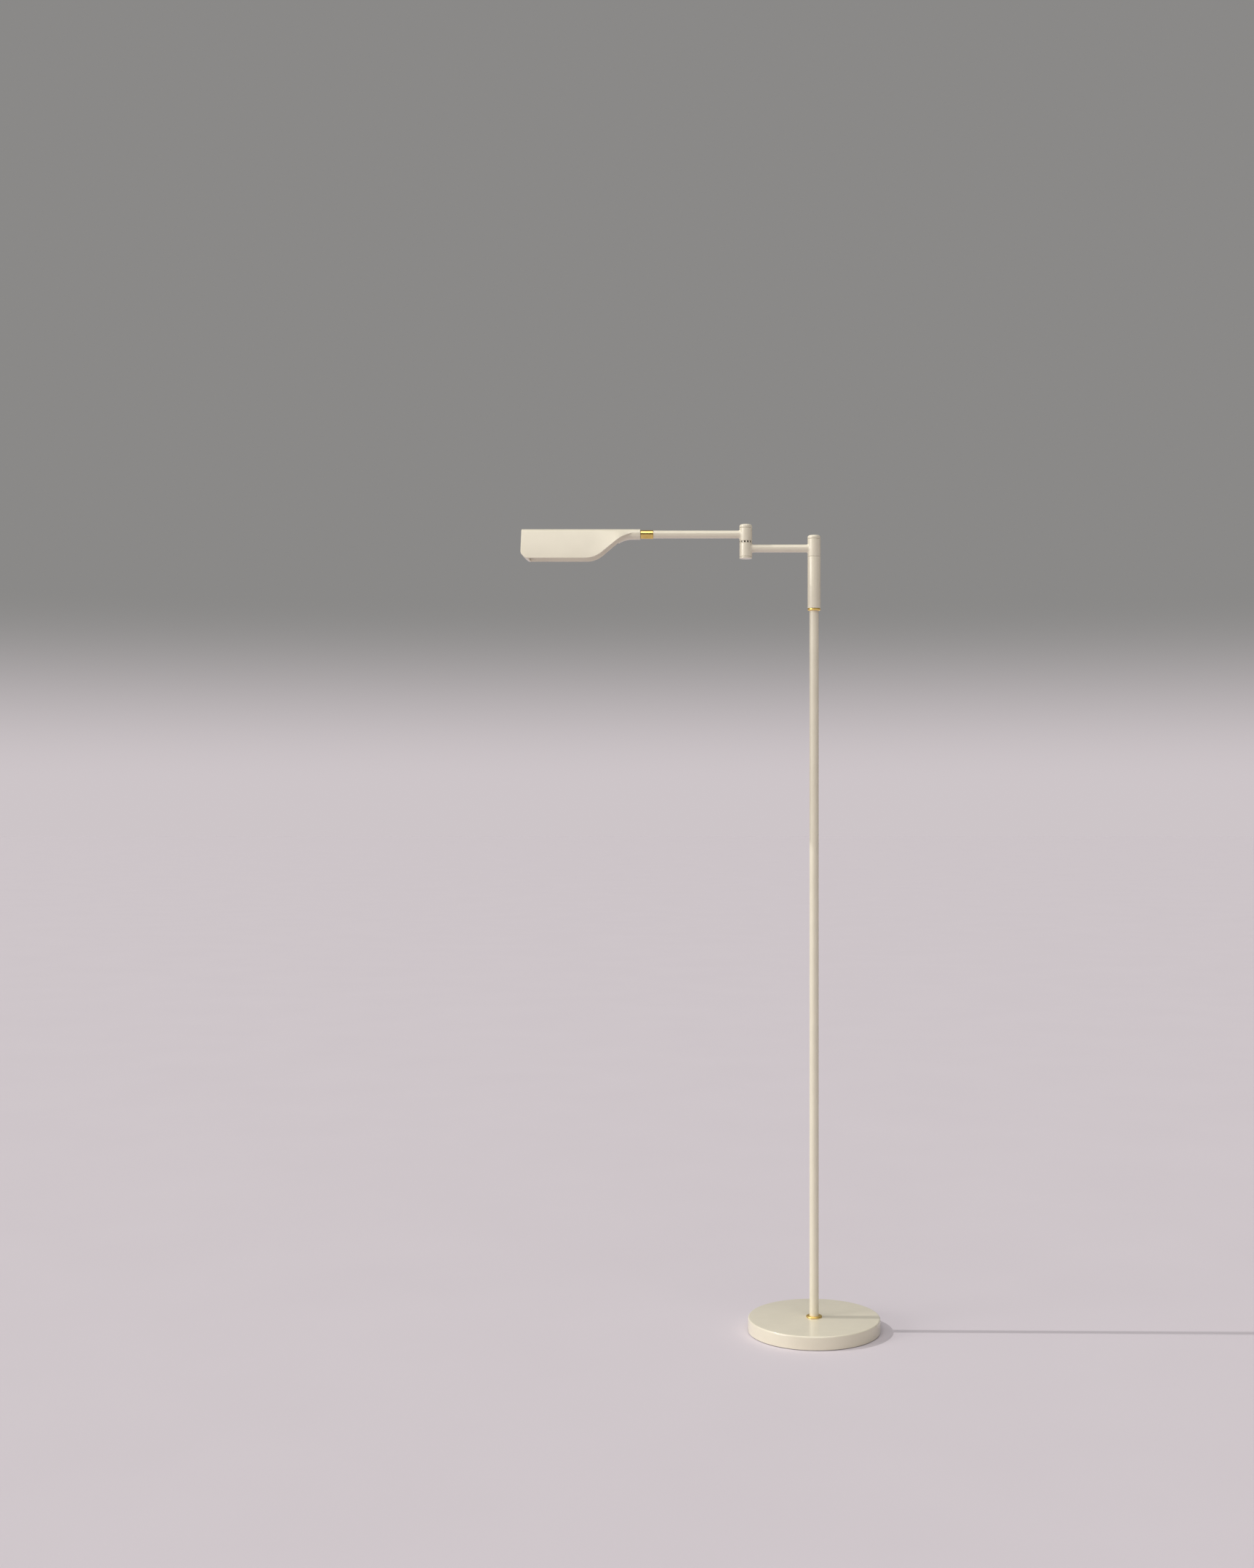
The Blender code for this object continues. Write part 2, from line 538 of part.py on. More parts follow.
# ---- lower arm --------------------------------------------------------------------------
def build_lower_arm(arm, materials):
    hub_bottom = SLEEVE_TOP + SEAM
    hub = barrel("hub_barrel", SLEEVE_RADIUS, hub_bottom, HUB_TOP, True, pocket=True)
    place(hub, materials["cream_paint"], arm, (0.0, 0.0, hub_bottom))
    add_boolean(hub, rod_guide(ARM_BORE, SLEEVE_RADIUS * 1.3, arm, (0.0, 0.0, LOWER_ARM_Z),
                               ALONG_MINUS_X), "DIFFERENCE")
    cap = domed_cap("hub_cap", SLEEVE_RADIUS, HUB_CAP_TOP - HUB_TOP - GAP)
    place(cap, materials["cream_paint"], arm, (0.0, 0.0, HUB_TOP + GAP))

    span = -ELBOW_X - SLEEVE_RADIUS - KNUCKLE_RADIUS
    rod = arm_tube("lower_arm_tube", SLEEVE_RADIUS, span, ("start", "end"))
    place(rod, materials["cream_paint"], arm, (0.0, 0.0, LOWER_ARM_Z), ALONG_MINUS_X)
    for centre, radius in ((0.0, SLEEVE_RADIUS), (ELBOW_X, KNUCKLE_RADIUS)):
        saddle = rod_guide(radius + GAP, 0.040, arm, (centre, 0.0, LOWER_ARM_Z - 0.020))
        add_boolean(rod, saddle, "DIFFERENCE")

    knuckle_top = SPACER_BOTTOM - GAP
    knuckle = barrel("elbow_lower_barrel", KNUCKLE_RADIUS, LOWER_KNUCKLE_BOTTOM, knuckle_top,
                     False, pocket=False)
    place(knuckle, materials["cream_paint"], arm, (ELBOW_X, 0.0, LOWER_KNUCKLE_BOTTOM))
    add_boolean(knuckle, rod_guide(ARM_BORE, KNUCKLE_RADIUS * 1.3, arm,
                                   (ELBOW_X, 0.0, LOWER_ARM_Z), (0.0, math.pi / 2, 0.0)),
                "DIFFERENCE")
    foot_height = LOWER_KNUCKLE_BOTTOM - GAP - ELBOW_BOTTOM
    spigot = KNUCKLE_RADIUS - BARREL_WALL - GAP
    foot = to_object("elbow_lower_cap", turned(soften([
        (0.0, 0.0), (KNUCKLE_RADIUS, 0.0, 0.0010), (KNUCKLE_RADIUS, foot_height - BARREL_BEVEL),
        (KNUCKLE_RADIUS - BARREL_BEVEL, foot_height), (spigot, foot_height),
        (spigot, foot_height + CAP_SPIGOT), (0.0, foot_height + CAP_SPIGOT)], closed=False),
        ROUND_TUBE))
    place(foot, materials["cream_paint"], arm, (ELBOW_X, 0.0, ELBOW_BOTTOM))

    place(castellated_ring(), materials["cream_paint"], arm, (ELBOW_X, 0.0, SPACER_BOTTOM),
          (0.0, 0.0, SPACER_PHASE))
    inner = tube("elbow_inner_ring", KNUCKLE_RADIUS - SPACER_INSET - SPACER_WALL - GAP,
                 NIPPLE_HOLE, SPACER_RIM + SPACER_TOOTH_HEIGHT, ROUND_TUBE)
    place(inner, materials["black_nylon"], arm, (ELBOW_X, 0.0, SPACER_BOTTOM))

    washer_z = knuckle_top - BARREL_FLOOR - GAP - WASHER_THICKNESS
    washer = tube("elbow_lower_washer", WASHER_RADIUS, NIPPLE_HOLE, WASHER_THICKNESS)
    place(washer, materials["zinc_steel"], arm, (ELBOW_X, 0.0, washer_z))
    nut_z = washer_z - GAP - NUT_THICKNESS
    nut = hex_nut("elbow_lower_nut", NUT_ACROSS_FLATS, NUT_THICKNESS)
    place(nut, materials["zinc_steel"], arm, (ELBOW_X, 0.0, nut_z))
    upper_floor_top = upper_barrel_bottom() + BARREL_FLOOR
    nipple_and_nut("elbow", ELBOW_X, nut_z - 0.0005, upper_floor_top, arm, materials)


def upper_barrel_bottom():
    return SPACER_BOTTOM + SPACER_RIM + SPACER_TOOTH_HEIGHT + GAP


def castellated_ring():
    """The elbow's spacer: a thin ring whose square teeth leave a row of small windows."""
    per_window = 2
    segments = SPACER_OPENINGS * 2 * per_window
    outer = KNUCKLE_RADIUS - SPACER_INSET
    inner = outer - SPACER_WALL
    shape = turned([(inner, 0.0), (outer, 0.0), (outer, SPACER_RIM), (inner, SPACER_RIM)],
                   segments)
    shape.normal_update()
    bmesh.ops.recalc_face_normals(shape, faces=shape.faces)
    first_middle = -math.pi / 2
    for index in range(SPACER_OPENINGS):
        middle = first_middle + math.pi * (2 * index + 1) / SPACER_OPENINGS
        direction = Vector((math.cos(middle), math.sin(middle), 0.0))
        reach = math.cos(math.pi / (2 * SPACER_OPENINGS))
        tooth = [face for face in shape.faces
                 if face.normal.z > 0.9 and flat_direction(face).dot(direction) > reach]
        grown = bmesh.ops.extrude_face_region(shape, geom=tooth)
        bmesh.ops.delete(shape, geom=tooth, context="FACES_ONLY")
        for item in grown["geom"]:
            if isinstance(item, bmesh.types.BMVert):
                item.co.z += SPACER_TOOTH_HEIGHT
    return to_object("elbow_spacer_ring", shape)


def flat_direction(face):
    centre = face.calc_center_median()
    return Vector((centre.x, centre.y, 0.0)).normalized()


# ---- upper arm --------------------------------------------------------------------------
def build_upper_arm(arm, materials):
    bottom = upper_barrel_bottom()
    top = ELBOW_CAP_SEAM
    knuckle = barrel("elbow_upper_barrel", KNUCKLE_RADIUS, bottom, top, True, pocket=False)
    place(knuckle, materials["cream_paint"], arm, (ELBOW_X, 0.0, bottom))
    add_boolean(knuckle, rod_guide(ARM_BORE, KNUCKLE_RADIUS * 1.3, arm,
                                   (ELBOW_X, 0.0, UPPER_ARM_Z), ALONG_MINUS_X), "DIFFERENCE")
    cap = domed_cap("elbow_upper_cap", KNUCKLE_RADIUS, ELBOW_TOP - top - GAP)
    place(cap, materials["cream_paint"], arm, (ELBOW_X, 0.0, top + GAP))

    length = ELBOW_X - KNUCKLE_RADIUS - COLLAR_START_X - GAP
    rod = arm_tube("upper_arm_tube", KNUCKLE_RADIUS, length, ("start",))
    place(rod, materials["cream_paint"], arm, (ELBOW_X, 0.0, UPPER_ARM_Z), ALONG_MINUS_X)
    add_boolean(rod, rod_guide(KNUCKLE_RADIUS + GAP, 0.040, arm,
                               (ELBOW_X, 0.0, UPPER_ARM_Z - 0.020)), "DIFFERENCE")

    collar_length = COLLAR_START_X - COLLAR_END_X
    collar = to_object("swivel_collar", turned(soften([
        (NIPPLE_HOLE, -COLLAR_SPIGOT), (ARM_BORE - GAP, -COLLAR_SPIGOT), (ARM_BORE - GAP, 0.0),
        (COLLAR_RADIUS, 0.0, 0.0005), (COLLAR_RADIUS, collar_length, 0.0005),
        (NIPPLE_HOLE, collar_length)]), ROUND_TUBE))
    place(collar, materials["brass"], arm, (COLLAR_START_X, 0.0, UPPER_ARM_Z), ALONG_MINUS_X)

    friction = tube("head_friction_washer", HEAD_WASHER_RADIUS, NIPPLE_HOLE, WASHER_THICKNESS)
    place(friction, materials["black_nylon"], arm, (COLLAR_END_X - GAP, 0.0, UPPER_ARM_Z),
          ALONG_MINUS_X)
    floor_x = NECK_END_X - NECK_FLOOR
    spring = tube("head_spring_washer", HEAD_WASHER_RADIUS, NIPPLE_HOLE, WASHER_THICKNESS)
    place(spring, materials["zinc_steel"], arm, (floor_x - GAP, 0.0, UPPER_ARM_Z), ALONG_MINUS_X)
    nut_x = floor_x - 2 * GAP - WASHER_THICKNESS
    nut = hex_nut("head_nut", HEAD_NUT_ACROSS_FLATS, NUT_THICKNESS)
    place(nut, materials["zinc_steel"], arm, (nut_x, 0.0, UPPER_ARM_Z), ALONG_MINUS_X)
    nipple_start = nut_x - NUT_THICKNESS - NIPPLE_PROUD + HEAD_NIPPLE_LENGTH
    nipple = tube("head_nipple", NIPPLE_RADIUS, NIPPLE_BORE, HEAD_NIPPLE_LENGTH)
    place(nipple, materials["zinc_steel"], arm, (nipple_start, 0.0, UPPER_ARM_Z), ALONG_MINUS_X)


# ---- head -------------------------------------------------------------------------------
def ease(value):
    value = min(1.0, max(0.0, value))
    return value * value * (3 - 2 * value)


def tip_outline(inset=0.0):
    """The cut-off corner under the tip as (x, z), from the upright end to the flat edge."""
    cut = TIP_CUT + inset * (math.sqrt(2) - 1)
    radius = TIP_CUT_RADIUS - inset
    end_x, low_z = TIP_X + inset, SHADE_BOTTOM + inset
    beyond = TIP_CUT_RADIUS
    return soften([(end_x, SHADE_BOTTOM + cut + beyond), (end_x, SHADE_BOTTOM + cut, radius),
                   (TIP_X + cut, low_z, radius), (TIP_X + cut + beyond, low_z)],
                  closed=False)[1:-1]


def edge_height(x):
    """The side wall's lower edge: flat, swept up to the neck, and cut off at the tip."""
    low = SHADE_BOTTOM
    outline = tip_outline()
    for (near_x, near_z), (far_x, far_z) in zip(outline, outline[1:]):
        if x <= far_x:
            return near_z + (far_z - near_z) * (x - near_x) / (far_x - near_x)
    low_end_x = SWEEP_LOW_X + SWEEP_LOW_RADIUS * math.sin(SWEEP_SLOPE)
    low_end_z = low + SWEEP_LOW_RADIUS * (1 - math.cos(SWEEP_SLOPE))
    if x <= SWEEP_LOW_X:
        return low
    if x <= low_end_x:
        return low + SWEEP_LOW_RADIUS - math.sqrt(SWEEP_LOW_RADIUS ** 2 - (x - SWEEP_LOW_X) ** 2)
    if x <= SWEEP_HIGH_X:
        return low_end_z + (x - low_end_x) * math.tan(SWEEP_SLOPE)
    high_start_z = low_end_z + (SWEEP_HIGH_X - low_end_x) * math.tan(SWEEP_SLOPE)
    centre_x = SWEEP_HIGH_X + SWEEP_HIGH_RADIUS * math.sin(SWEEP_SLOPE)
    centre_z = high_start_z - SWEEP_HIGH_RADIUS * math.cos(SWEEP_SLOPE)
    across = min(0.0, x - centre_x)
    swept = centre_z + math.sqrt(SWEEP_HIGH_RADIUS ** 2 - across ** 2)
    return min(UPPER_ARM_Z + NECK_EDGE_RISE, swept)


def wall_slant():
    """How much the side walls come in for each metre they rise."""
    return math.tan(wall_angle(SHADE_HALF_WIDTH, SHADE_BOTTOM, NECK_RADIUS))


def edge_half_width(x, edge_z):
    """Half the shade's width at the edge: round neck, shoulder, then tapering wings."""
    if x < SWEEP_LOW_X:
        return SHADE_HALF_WIDTH - (edge_z - SHADE_BOTTOM) * wall_slant()
    rise = min(edge_z - UPPER_ARM_Z, NECK_EDGE_RISE)
    if rise < 0.0:
        rise = NECK_EDGE_RISE
    on_neck = math.sqrt(NECK_RADIUS ** 2 - rise ** 2)
    widen = ease((SHOULDER_START_X - x) / (SHOULDER_START_X - SHOULDER_END_X))
    wing = SHADE_HALF_WIDTH - (edge_z - SHADE_BOTTOM) * WING_TAPER
    return on_neck + (wing - on_neck) * widen


def wall_angle(edge_y, edge_z, radius):
    """Direction from the ridge's centre to where a straight wall from the edge touches it."""
    across, up = edge_y, edge_z - UPPER_ARM_Z
    distance = math.hypot(across, up)
    return math.atan2(up, across) + math.acos(min(1.0, radius / distance))


def belly_points(x, angle, reach):
    """The neck's underside from the left wall's inner face, round the bottom, to the right."""
    across = max(0.0, DROOP_START_X - x)
    droop = DROOP_RADIUS - math.sqrt(DROOP_RADIUS ** 2 - across ** 2)
    tall = NECK_RADIUS + droop

    def outside(turn):
        y, up = NECK_RADIUS * math.cos(turn), tall * math.sin(turn)
        return y * math.cos(angle) + up * math.sin(angle) - reach

    low, high = -math.pi / 2, angle
    for _ in range(40):
        middle = (low + high) / 2
        low, high = (low, middle) if outside(middle) > 0 else (middle, high)
    turns = [math.pi - low + 2 * i / SECTION_STEPS * (low + math.pi / 2)
             for i in range(SECTION_STEPS + 1)]
    return [(NECK_RADIUS * math.cos(a), UPPER_ARM_Z + tall * math.sin(a)) for a in turns]


def section(x, underside, inset=0.0):
    """One closed section of the shell at x. The underside is belly, chamber or flush."""
    edge_z = edge_height(x) + inset
    edge_y = edge_half_width(x, edge_z) - inset
    radius = NECK_RADIUS - inset
    distance = math.hypot(edge_y, edge_z - UPPER_ARM_Z)
    if distance < radius * 1.0001:
        edge_y *= radius / distance
        edge_z = UPPER_ARM_Z + (edge_z - UPPER_ARM_Z) * radius / distance
        distance = radius
    angle = wall_angle(edge_y, edge_z, radius)
    spare = 0.8 * (distance ** 2 - radius ** 2)
    wall = SHADE_WALL
    if spare < 2 * radius * SHADE_WALL - SHADE_WALL ** 2:
        wall = radius - math.sqrt(radius ** 2 - spare)

    centre = (0.0, UPPER_ARM_Z)
    ridge = arc_points(centre, radius, angle, math.pi - angle, SECTION_STEPS)
    inner_y = edge_y - wall * math.cos(angle)
    inner_z = edge_z - wall * math.sin(angle)
    if underside == "belly":
        below = belly_points(x, angle, radius - wall)
    elif underside == "chamber":
        below = arc_points(centre, radius - wall, math.pi - angle, angle, SECTION_STEPS)
    else:
        below = [(inner_y * (2 * i / SECTION_STEPS - 1), inner_z)
                 for i in range(SECTION_STEPS + 1)]
    ring = ([(edge_y, edge_z)] + ridge + [(-edge_y, edge_z), (-inner_y, inner_z)] + below
            + [(inner_y, inner_z)])
    return [(x, y, z) for y, z in ring]


def shell_rings():
    """Sections from the neck's end to the tip; close pairs make the upright inner walls."""
    rings = [section(NECK_END_X, "belly")]
    neck_steps, sweep_steps = 12, 16
    for index in range(neck_steps + 1):
        x = SHOULDER_START_X + (LIP_X - SHOULDER_START_X) * index / neck_steps
        rings.append(section(x, "belly"))
    open_x = LIP_X - 0.0005
    for index in range(sweep_steps + 1):
        x = open_x + (SWEEP_LOW_X - open_x) * index / sweep_steps
        rings.append(section(x, "chamber"))
    inner_tip = TIP_X + SHADE_WALL
    corner = [x for x, _ in tip_outline()][::-1]
    rings += [section(x, "chamber") for x in corner if x > inner_tip]
    rings.append(section(inner_tip, "chamber"))
    solid = [inner_tip - 0.0004] + [x for x in corner if x < inner_tip - 0.0004 and x > TIP_X]
    rings += [section(x, "flush") for x in solid]
    rings.append(section(TIP_X + TIP_CHAMFER * 0.4, "flush"))
    rings.append(section(TIP_X, "flush", TIP_CHAMFER))
    return rings


def chin():
    """The end wall's cut-off lower corner, which joins the two side walls under the tip."""
    sunk = 0.00015
    outer, inner = tip_outline(sunk), tip_outline(SHADE_WALL - sunk)
    above = 0.004
    lip_x = outer[-1][0] + CHIN_LIP
    profile = [(outer[0][0], outer[0][1] + above)] + outer
    profile += [(lip_x, outer[-1][1]), (lip_x, inner[-1][1])]
    profile += inner[::-1] + [(inner[0][0], outer[0][1] + above)]
    rings = []
    for side in (-1, 1):
        rings.append([(x, side * (SHADE_HALF_WIDTH - SHADE_WALL / 2
                                  - (z - SHADE_BOTTOM) * wall_slant()), z) for x, z in profile])
    return loft(rings)


def wire_way():
    """One stepped hollow: washer recess, nipple hole, neck bore, then out through the lip."""
    recess = HEAD_WASHER_RADIUS + 2 * GAP
    stations = [
        (NECK_END_X + 0.0040, 0.0, recess, recess),
        (NECK_END_X - WASHER_POCKET, 0.0, recess, recess),
        (NECK_END_X - WASHER_POCKET, 0.0, NIPPLE_HOLE, NIPPLE_HOLE),
        (NECK_END_X - NECK_FLOOR, 0.0, NIPPLE_HOLE, NIPPLE_HOLE),
        (NECK_END_X - NECK_FLOOR, 0.0, NECK_BORE, NECK_BORE),
        (THROAT_START_X, 0.0, NECK_BORE, NECK_BORE),
        (THROAT_MIDDLE_X, -THROAT_MIDDLE_DROP, NECK_BORE, THROAT_MIDDLE_HEIGHT),
        (LIP_X - 0.0025, -THROAT_END_DROP, NECK_BORE, THROAT_END_HEIGHT)]
    return loft([[(x, wide * math.cos(2 * math.pi * i / ROUND_SMALL),
                   UPPER_ARM_Z + drop + tall * math.sin(2 * math.pi * i / ROUND_SMALL))
                  for i in range(ROUND_SMALL)] for x, drop, wide, tall in stations])


def tray_half_width(z, inset=0.0):
    """Half the lamp tray's width: its sides run parallel to the shade's side walls."""
    return TRAY_MOUTH_HALF_WIDTH - inset - (z - TRAY_MOUTH_Z) * wall_slant()


def between_ends(outline, inset=0.0):
    """A solid with one outline of (y, z) that runs the length of the lamp tray."""
    return loft([[(x, y, z) for y, z in outline]
                 for x in (TRAY_ENDS[0] + inset, TRAY_ENDS[1] - inset)])


def build_tray(head, materials):
    """A shallow aluminium tray: board inside its top, diffuser held by the lips at its mouth."""
    outer = [(tray_half_width(z), z) for z in (TRAY_MOUTH_Z, TRAY_TOP_Z)]
    tray = to_object("lamp_tray", between_ends(outer + [(-y, z) for y, z in outer[::-1]]))
    place(tray, materials["aluminium"], head, (0.0, 0.0, 0.0))
    lip_top = TRAY_MOUTH_Z + TRAY_LIP_THICKNESS
    wall = TRAY_WALL / math.cos(math.atan(wall_slant()))
    mouth = tray_half_width(lip_top, wall + TRAY_LIP)
    ceiling = TRAY_TOP_Z - TRAY_WALL
    hollow = [(mouth, TRAY_MOUTH_Z - TRAY_WALL), (mouth, lip_top),
              (tray_half_width(lip_top, wall), lip_top), (tray_half_width(ceiling, wall), ceiling)]
    hollow += [(-y, z) for y, z in hollow[::-1]]
    add_boolean(tray, guide(between_ends(hollow, TRAY_WALL), head), "DIFFERENCE")
    for x in SCREW_X:
        add_boolean(tray, rod_guide(SCREW_HOLE, 0.010, head, (x, 0.0, ceiling - 0.003),
                                    segments=ROUND_SMALL), "DIFFERENCE")
    add_boolean(tray, rod_guide(LEAD_RADIUS + 2 * GAP, 0.006, head,
                                (TRAY_ENDS[1] + 0.003, 0.0, TRAY_LEAD_Z), ALONG_MINUS_X,
                                segments=ROUND_SMALL), "DIFFERENCE")

    low, high = lip_top + GAP, lip_top + GAP + DIFFUSER_THICKNESS
    sheet = [(tray_half_width(z, wall + 2 * GAP), z) for z in (low, high)]
    diffuser = between_ends(sheet + [(-y, z) for y, z in sheet[::-1]], TRAY_WALL + 2 * GAP)
    place(to_object("diffuser", diffuser), materials["opal_acrylic"], head, (0.0, 0.0, 0.0))


def build_head(head, materials):
    shell = to_object("head_shell", loft(shell_rings()), smooth_angle=25.0)
    place(shell, materials["cream_paint"], head, (0.0, 0.0, 0.0))
    add_boolean(shell, guide(wire_way(), head), "DIFFERENCE")
    add_boolean(shell, guide(chin(), head), "UNION")
    boss_bottom = TRAY_TOP_Z + GAP
    boss_height = UPPER_ARM_Z + NECK_RADIUS - SHADE_WALL + 0.001 - boss_bottom
    for x in SCREW_X:
        boss = turned([(0.0, SCREW_LENGTH), (SCREW_HOLE, SCREW_LENGTH), (SCREW_HOLE, 0.0),
                       (BOSS_RADIUS, 0.0), (BOSS_RADIUS, boss_height), (0.0, boss_height)],
                      ROUND_SMALL)
        add_boolean(shell, guide(boss, head, (x, 0.0, boss_bottom)), "UNION")

    build_tray(head, materials)
    ceiling = TRAY_TOP_Z - TRAY_WALL
    board_top = ceiling - GAP
    board_bottom = board_top - BOARD_THICKNESS
    clear = SCREW_HEAD_RADIUS + 0.0015
    board_ends = (SCREW_X[1] + clear, SCREW_X[0] - clear)
    board = to_object("led_board", box_shape((board_ends[0], -BOARD_HALF_WIDTH, board_bottom),
                                             (board_ends[1], BOARD_HALF_WIDTH, board_top)))
    place(board, materials["board_white"], head, (0.0, 0.0, 0.0))
    half = LED_SIZE / 2
    pitch = (board_ends[1] - board_ends[0]) / LED_COUNT
    for index in range(LED_COUNT):
        x = board_ends[0] + (index + 0.5) * pitch
        chip = box_shape((x - half, -half, board_bottom - LED_HEIGHT),
                         (x + half, half, board_bottom + BOARD_THICKNESS / 2))
        add_boolean(board, guide(chip, head), "UNION")

    for number, x in enumerate(SCREW_X, start=1):
        head_z = ceiling - GAP
        screw = to_object(f"tray_screw_{number}", turned([
            (0.0, head_z - SCREW_HEAD_HEIGHT), (SCREW_HEAD_RADIUS * 0.7, head_z - SCREW_HEAD_HEIGHT),
            (SCREW_HEAD_RADIUS, head_z - SCREW_HEAD_HEIGHT / 2), (SCREW_HEAD_RADIUS, head_z),
            (SCREW_RADIUS, head_z), (SCREW_RADIUS, head_z + SCREW_LENGTH),
            (0.0, head_z + SCREW_LENGTH)], ROUND_SMALL))
        place(screw, materials["zinc_steel"], head, (x, 0.0, 0.0))


# ---- supply leads -----------------------------------------------------------------------
def build_leads(frames, materials):
    """Each body's length of lead ends on the joint axis, where the next length goes on."""
    post_end = nipple_top_above(SLEEVE_TOP + SEAM + BARREL_FLOOR) + 0.0006
    elbow_end = nipple_top_above(upper_barrel_bottom() + BARREL_FLOOR) + 0.0003
    head_end_x = NECK_END_X - NECK_FLOOR - 2 * GAP - WASHER_THICKNESS - NUT_THICKNESS - 0.002
    low_z = LOWER_ARM_Z - 0.0028
    white = materials["lead_white"]
    lead("pole_lead", [(0.0, 0.1080, CORD_INLET_Z - 0.001), (0.0, 0.060, 0.0042),
                       (0.0, 0.0, 0.0042), (0.0, 0.0, post_end)], 0.006, white, frames["stand"])
    lead("lower_arm_lead", [
        (0.0, 0.0, post_end + GAP), (0.0, 0.0, LOWER_ARM_Z + 0.0035),
        (-0.012, 0.0, LOWER_ARM_Z + 0.0034), (-0.045, 0.0, LOWER_ARM_Z),
        (ELBOW_X + 0.020, 0.0, low_z), (ELBOW_X, 0.0, low_z),
        (ELBOW_X, 0.0, elbow_end)], 0.0035, white, frames["lower_arm"])
    lead("upper_arm_lead", [
        (ELBOW_X, 0.0, elbow_end + GAP), (ELBOW_X, 0.0, UPPER_ARM_Z + 0.0036),
        (ELBOW_X - 0.012, 0.0, UPPER_ARM_Z + 0.0034), (ELBOW_X - 0.050, 0.0, UPPER_ARM_Z),
        (head_end_x, 0.0, UPPER_ARM_Z)], 0.0035, white, frames["upper_arm"])
    lead("head_lead", [
        (head_end_x - GAP, 0.0, UPPER_ARM_Z), (-0.3330, 0.0, UPPER_ARM_Z - 0.0010),
        (-0.3850, 0.0, TRAY_LEAD_Z), (-0.4115, 0.0, TRAY_LEAD_Z)], 0.004, white,
        frames["head"])


def build_lamp():
    clear_scene()
    materials = make_materials()
    stand = make_frame("stand_frame", (0.0, 0.0, 0.0))
    lower = make_frame("post_swivel_axis", (0.0, 0.0, SLEEVE_TOP), stand)
    upper = make_frame("elbow_swivel_axis", (ELBOW_X, 0.0, SPACER_BOTTOM), lower)
    head = make_frame("head_roll_axis", (COLLAR_END_X, 0.0, UPPER_ARM_Z), upper)
    build_base(stand, materials)
    build_pole(stand, materials)
    build_lower_arm(lower, materials)
    build_upper_arm(upper, materials)
    build_head(head, materials)
    build_leads({"stand": stand, "lower_arm": lower, "upper_arm": upper, "head": head},
                materials)


build_lamp()
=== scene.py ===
"""Looks of the adjustable arm floor lamp: fine surfaces, paint, brass, light and camera."""

import json
import math

import bmesh
import bpy
from mathutils import Matrix, Vector


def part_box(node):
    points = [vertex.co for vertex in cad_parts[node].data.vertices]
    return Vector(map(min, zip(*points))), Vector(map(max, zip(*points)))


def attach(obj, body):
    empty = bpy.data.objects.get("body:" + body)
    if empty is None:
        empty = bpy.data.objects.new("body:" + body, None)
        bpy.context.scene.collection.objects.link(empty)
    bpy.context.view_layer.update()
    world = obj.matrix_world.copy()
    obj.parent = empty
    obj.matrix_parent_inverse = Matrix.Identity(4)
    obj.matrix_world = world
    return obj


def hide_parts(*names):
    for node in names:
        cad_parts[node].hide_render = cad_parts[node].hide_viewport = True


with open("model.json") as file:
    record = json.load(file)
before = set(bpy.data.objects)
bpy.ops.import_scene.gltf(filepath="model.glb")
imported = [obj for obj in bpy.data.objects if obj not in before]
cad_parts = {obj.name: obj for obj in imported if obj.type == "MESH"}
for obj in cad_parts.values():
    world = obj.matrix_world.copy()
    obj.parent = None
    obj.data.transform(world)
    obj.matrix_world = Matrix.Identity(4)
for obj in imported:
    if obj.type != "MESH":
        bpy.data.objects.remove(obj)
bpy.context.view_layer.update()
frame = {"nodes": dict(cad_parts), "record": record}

# ---- camera -----------------------------------------------------------------------------
CAMERA_PLACE = (-0.1762, -3.186, 0.951)
CAMERA_LENS_MM = 42.05
CAMERA_SENSOR_MM = 36.0
CAMERA_SHIFT_X = -0.0547

# ---- resolution: how many steps a shape is cut into --------------------------------------
ROUND = 128
BASE_ROUND = 384
BORE_ROUND = 48
FILLET_STEPS = 8
RIDGE_STEPS = 56
BELLY_STEPS = 60
LIP_STEPS = 5
SWEEP_STEPS = 120
TIP_STEPS = 6
WINDOW_STEPS = 8

# ---- sizes that the frame's boxes don't give, in metres -----------------------------------
# Walls, gaps and edges that several pieces share.
CAD_GAP = 0.0003                       # between two pieces that fit into each other
RING_GAP = 0.0001                      # between a brass ring and the pole
STEP_GAP = 0.0001                      # between two sections where the inside steps
CRISP = 0.0003                         # radius of an edge that looks sharp
BEVEL_EASE = 0.0001                    # radius where a bevel meets its seat
NIPPLE_HOLE = 0.0043                   # radius of the hole for a threaded nipple

# Base and pole.
COVER_WALL = 0.0015
COVER_EDGE = 0.0026
COVER_FOOT_EDGE = 0.0004
PAD_EDGE = 0.0004
FOOT_RING_LOW_EDGE = 0.0009
FOOT_RING_HIGH_EDGE = 0.0014
SLEEVE_RING_EDGE = 0.0016
POLE_WALL = 0.0012
SLEEVE_WALL = 0.0014
GROMMET_BORE = 0.0020
GROMMET_FLANGE = 0.0018
GROMMET_NECK = 0.70
GROMMET_EDGE = 0.0009
GROMMET_BORE_EDGE = 0.0006

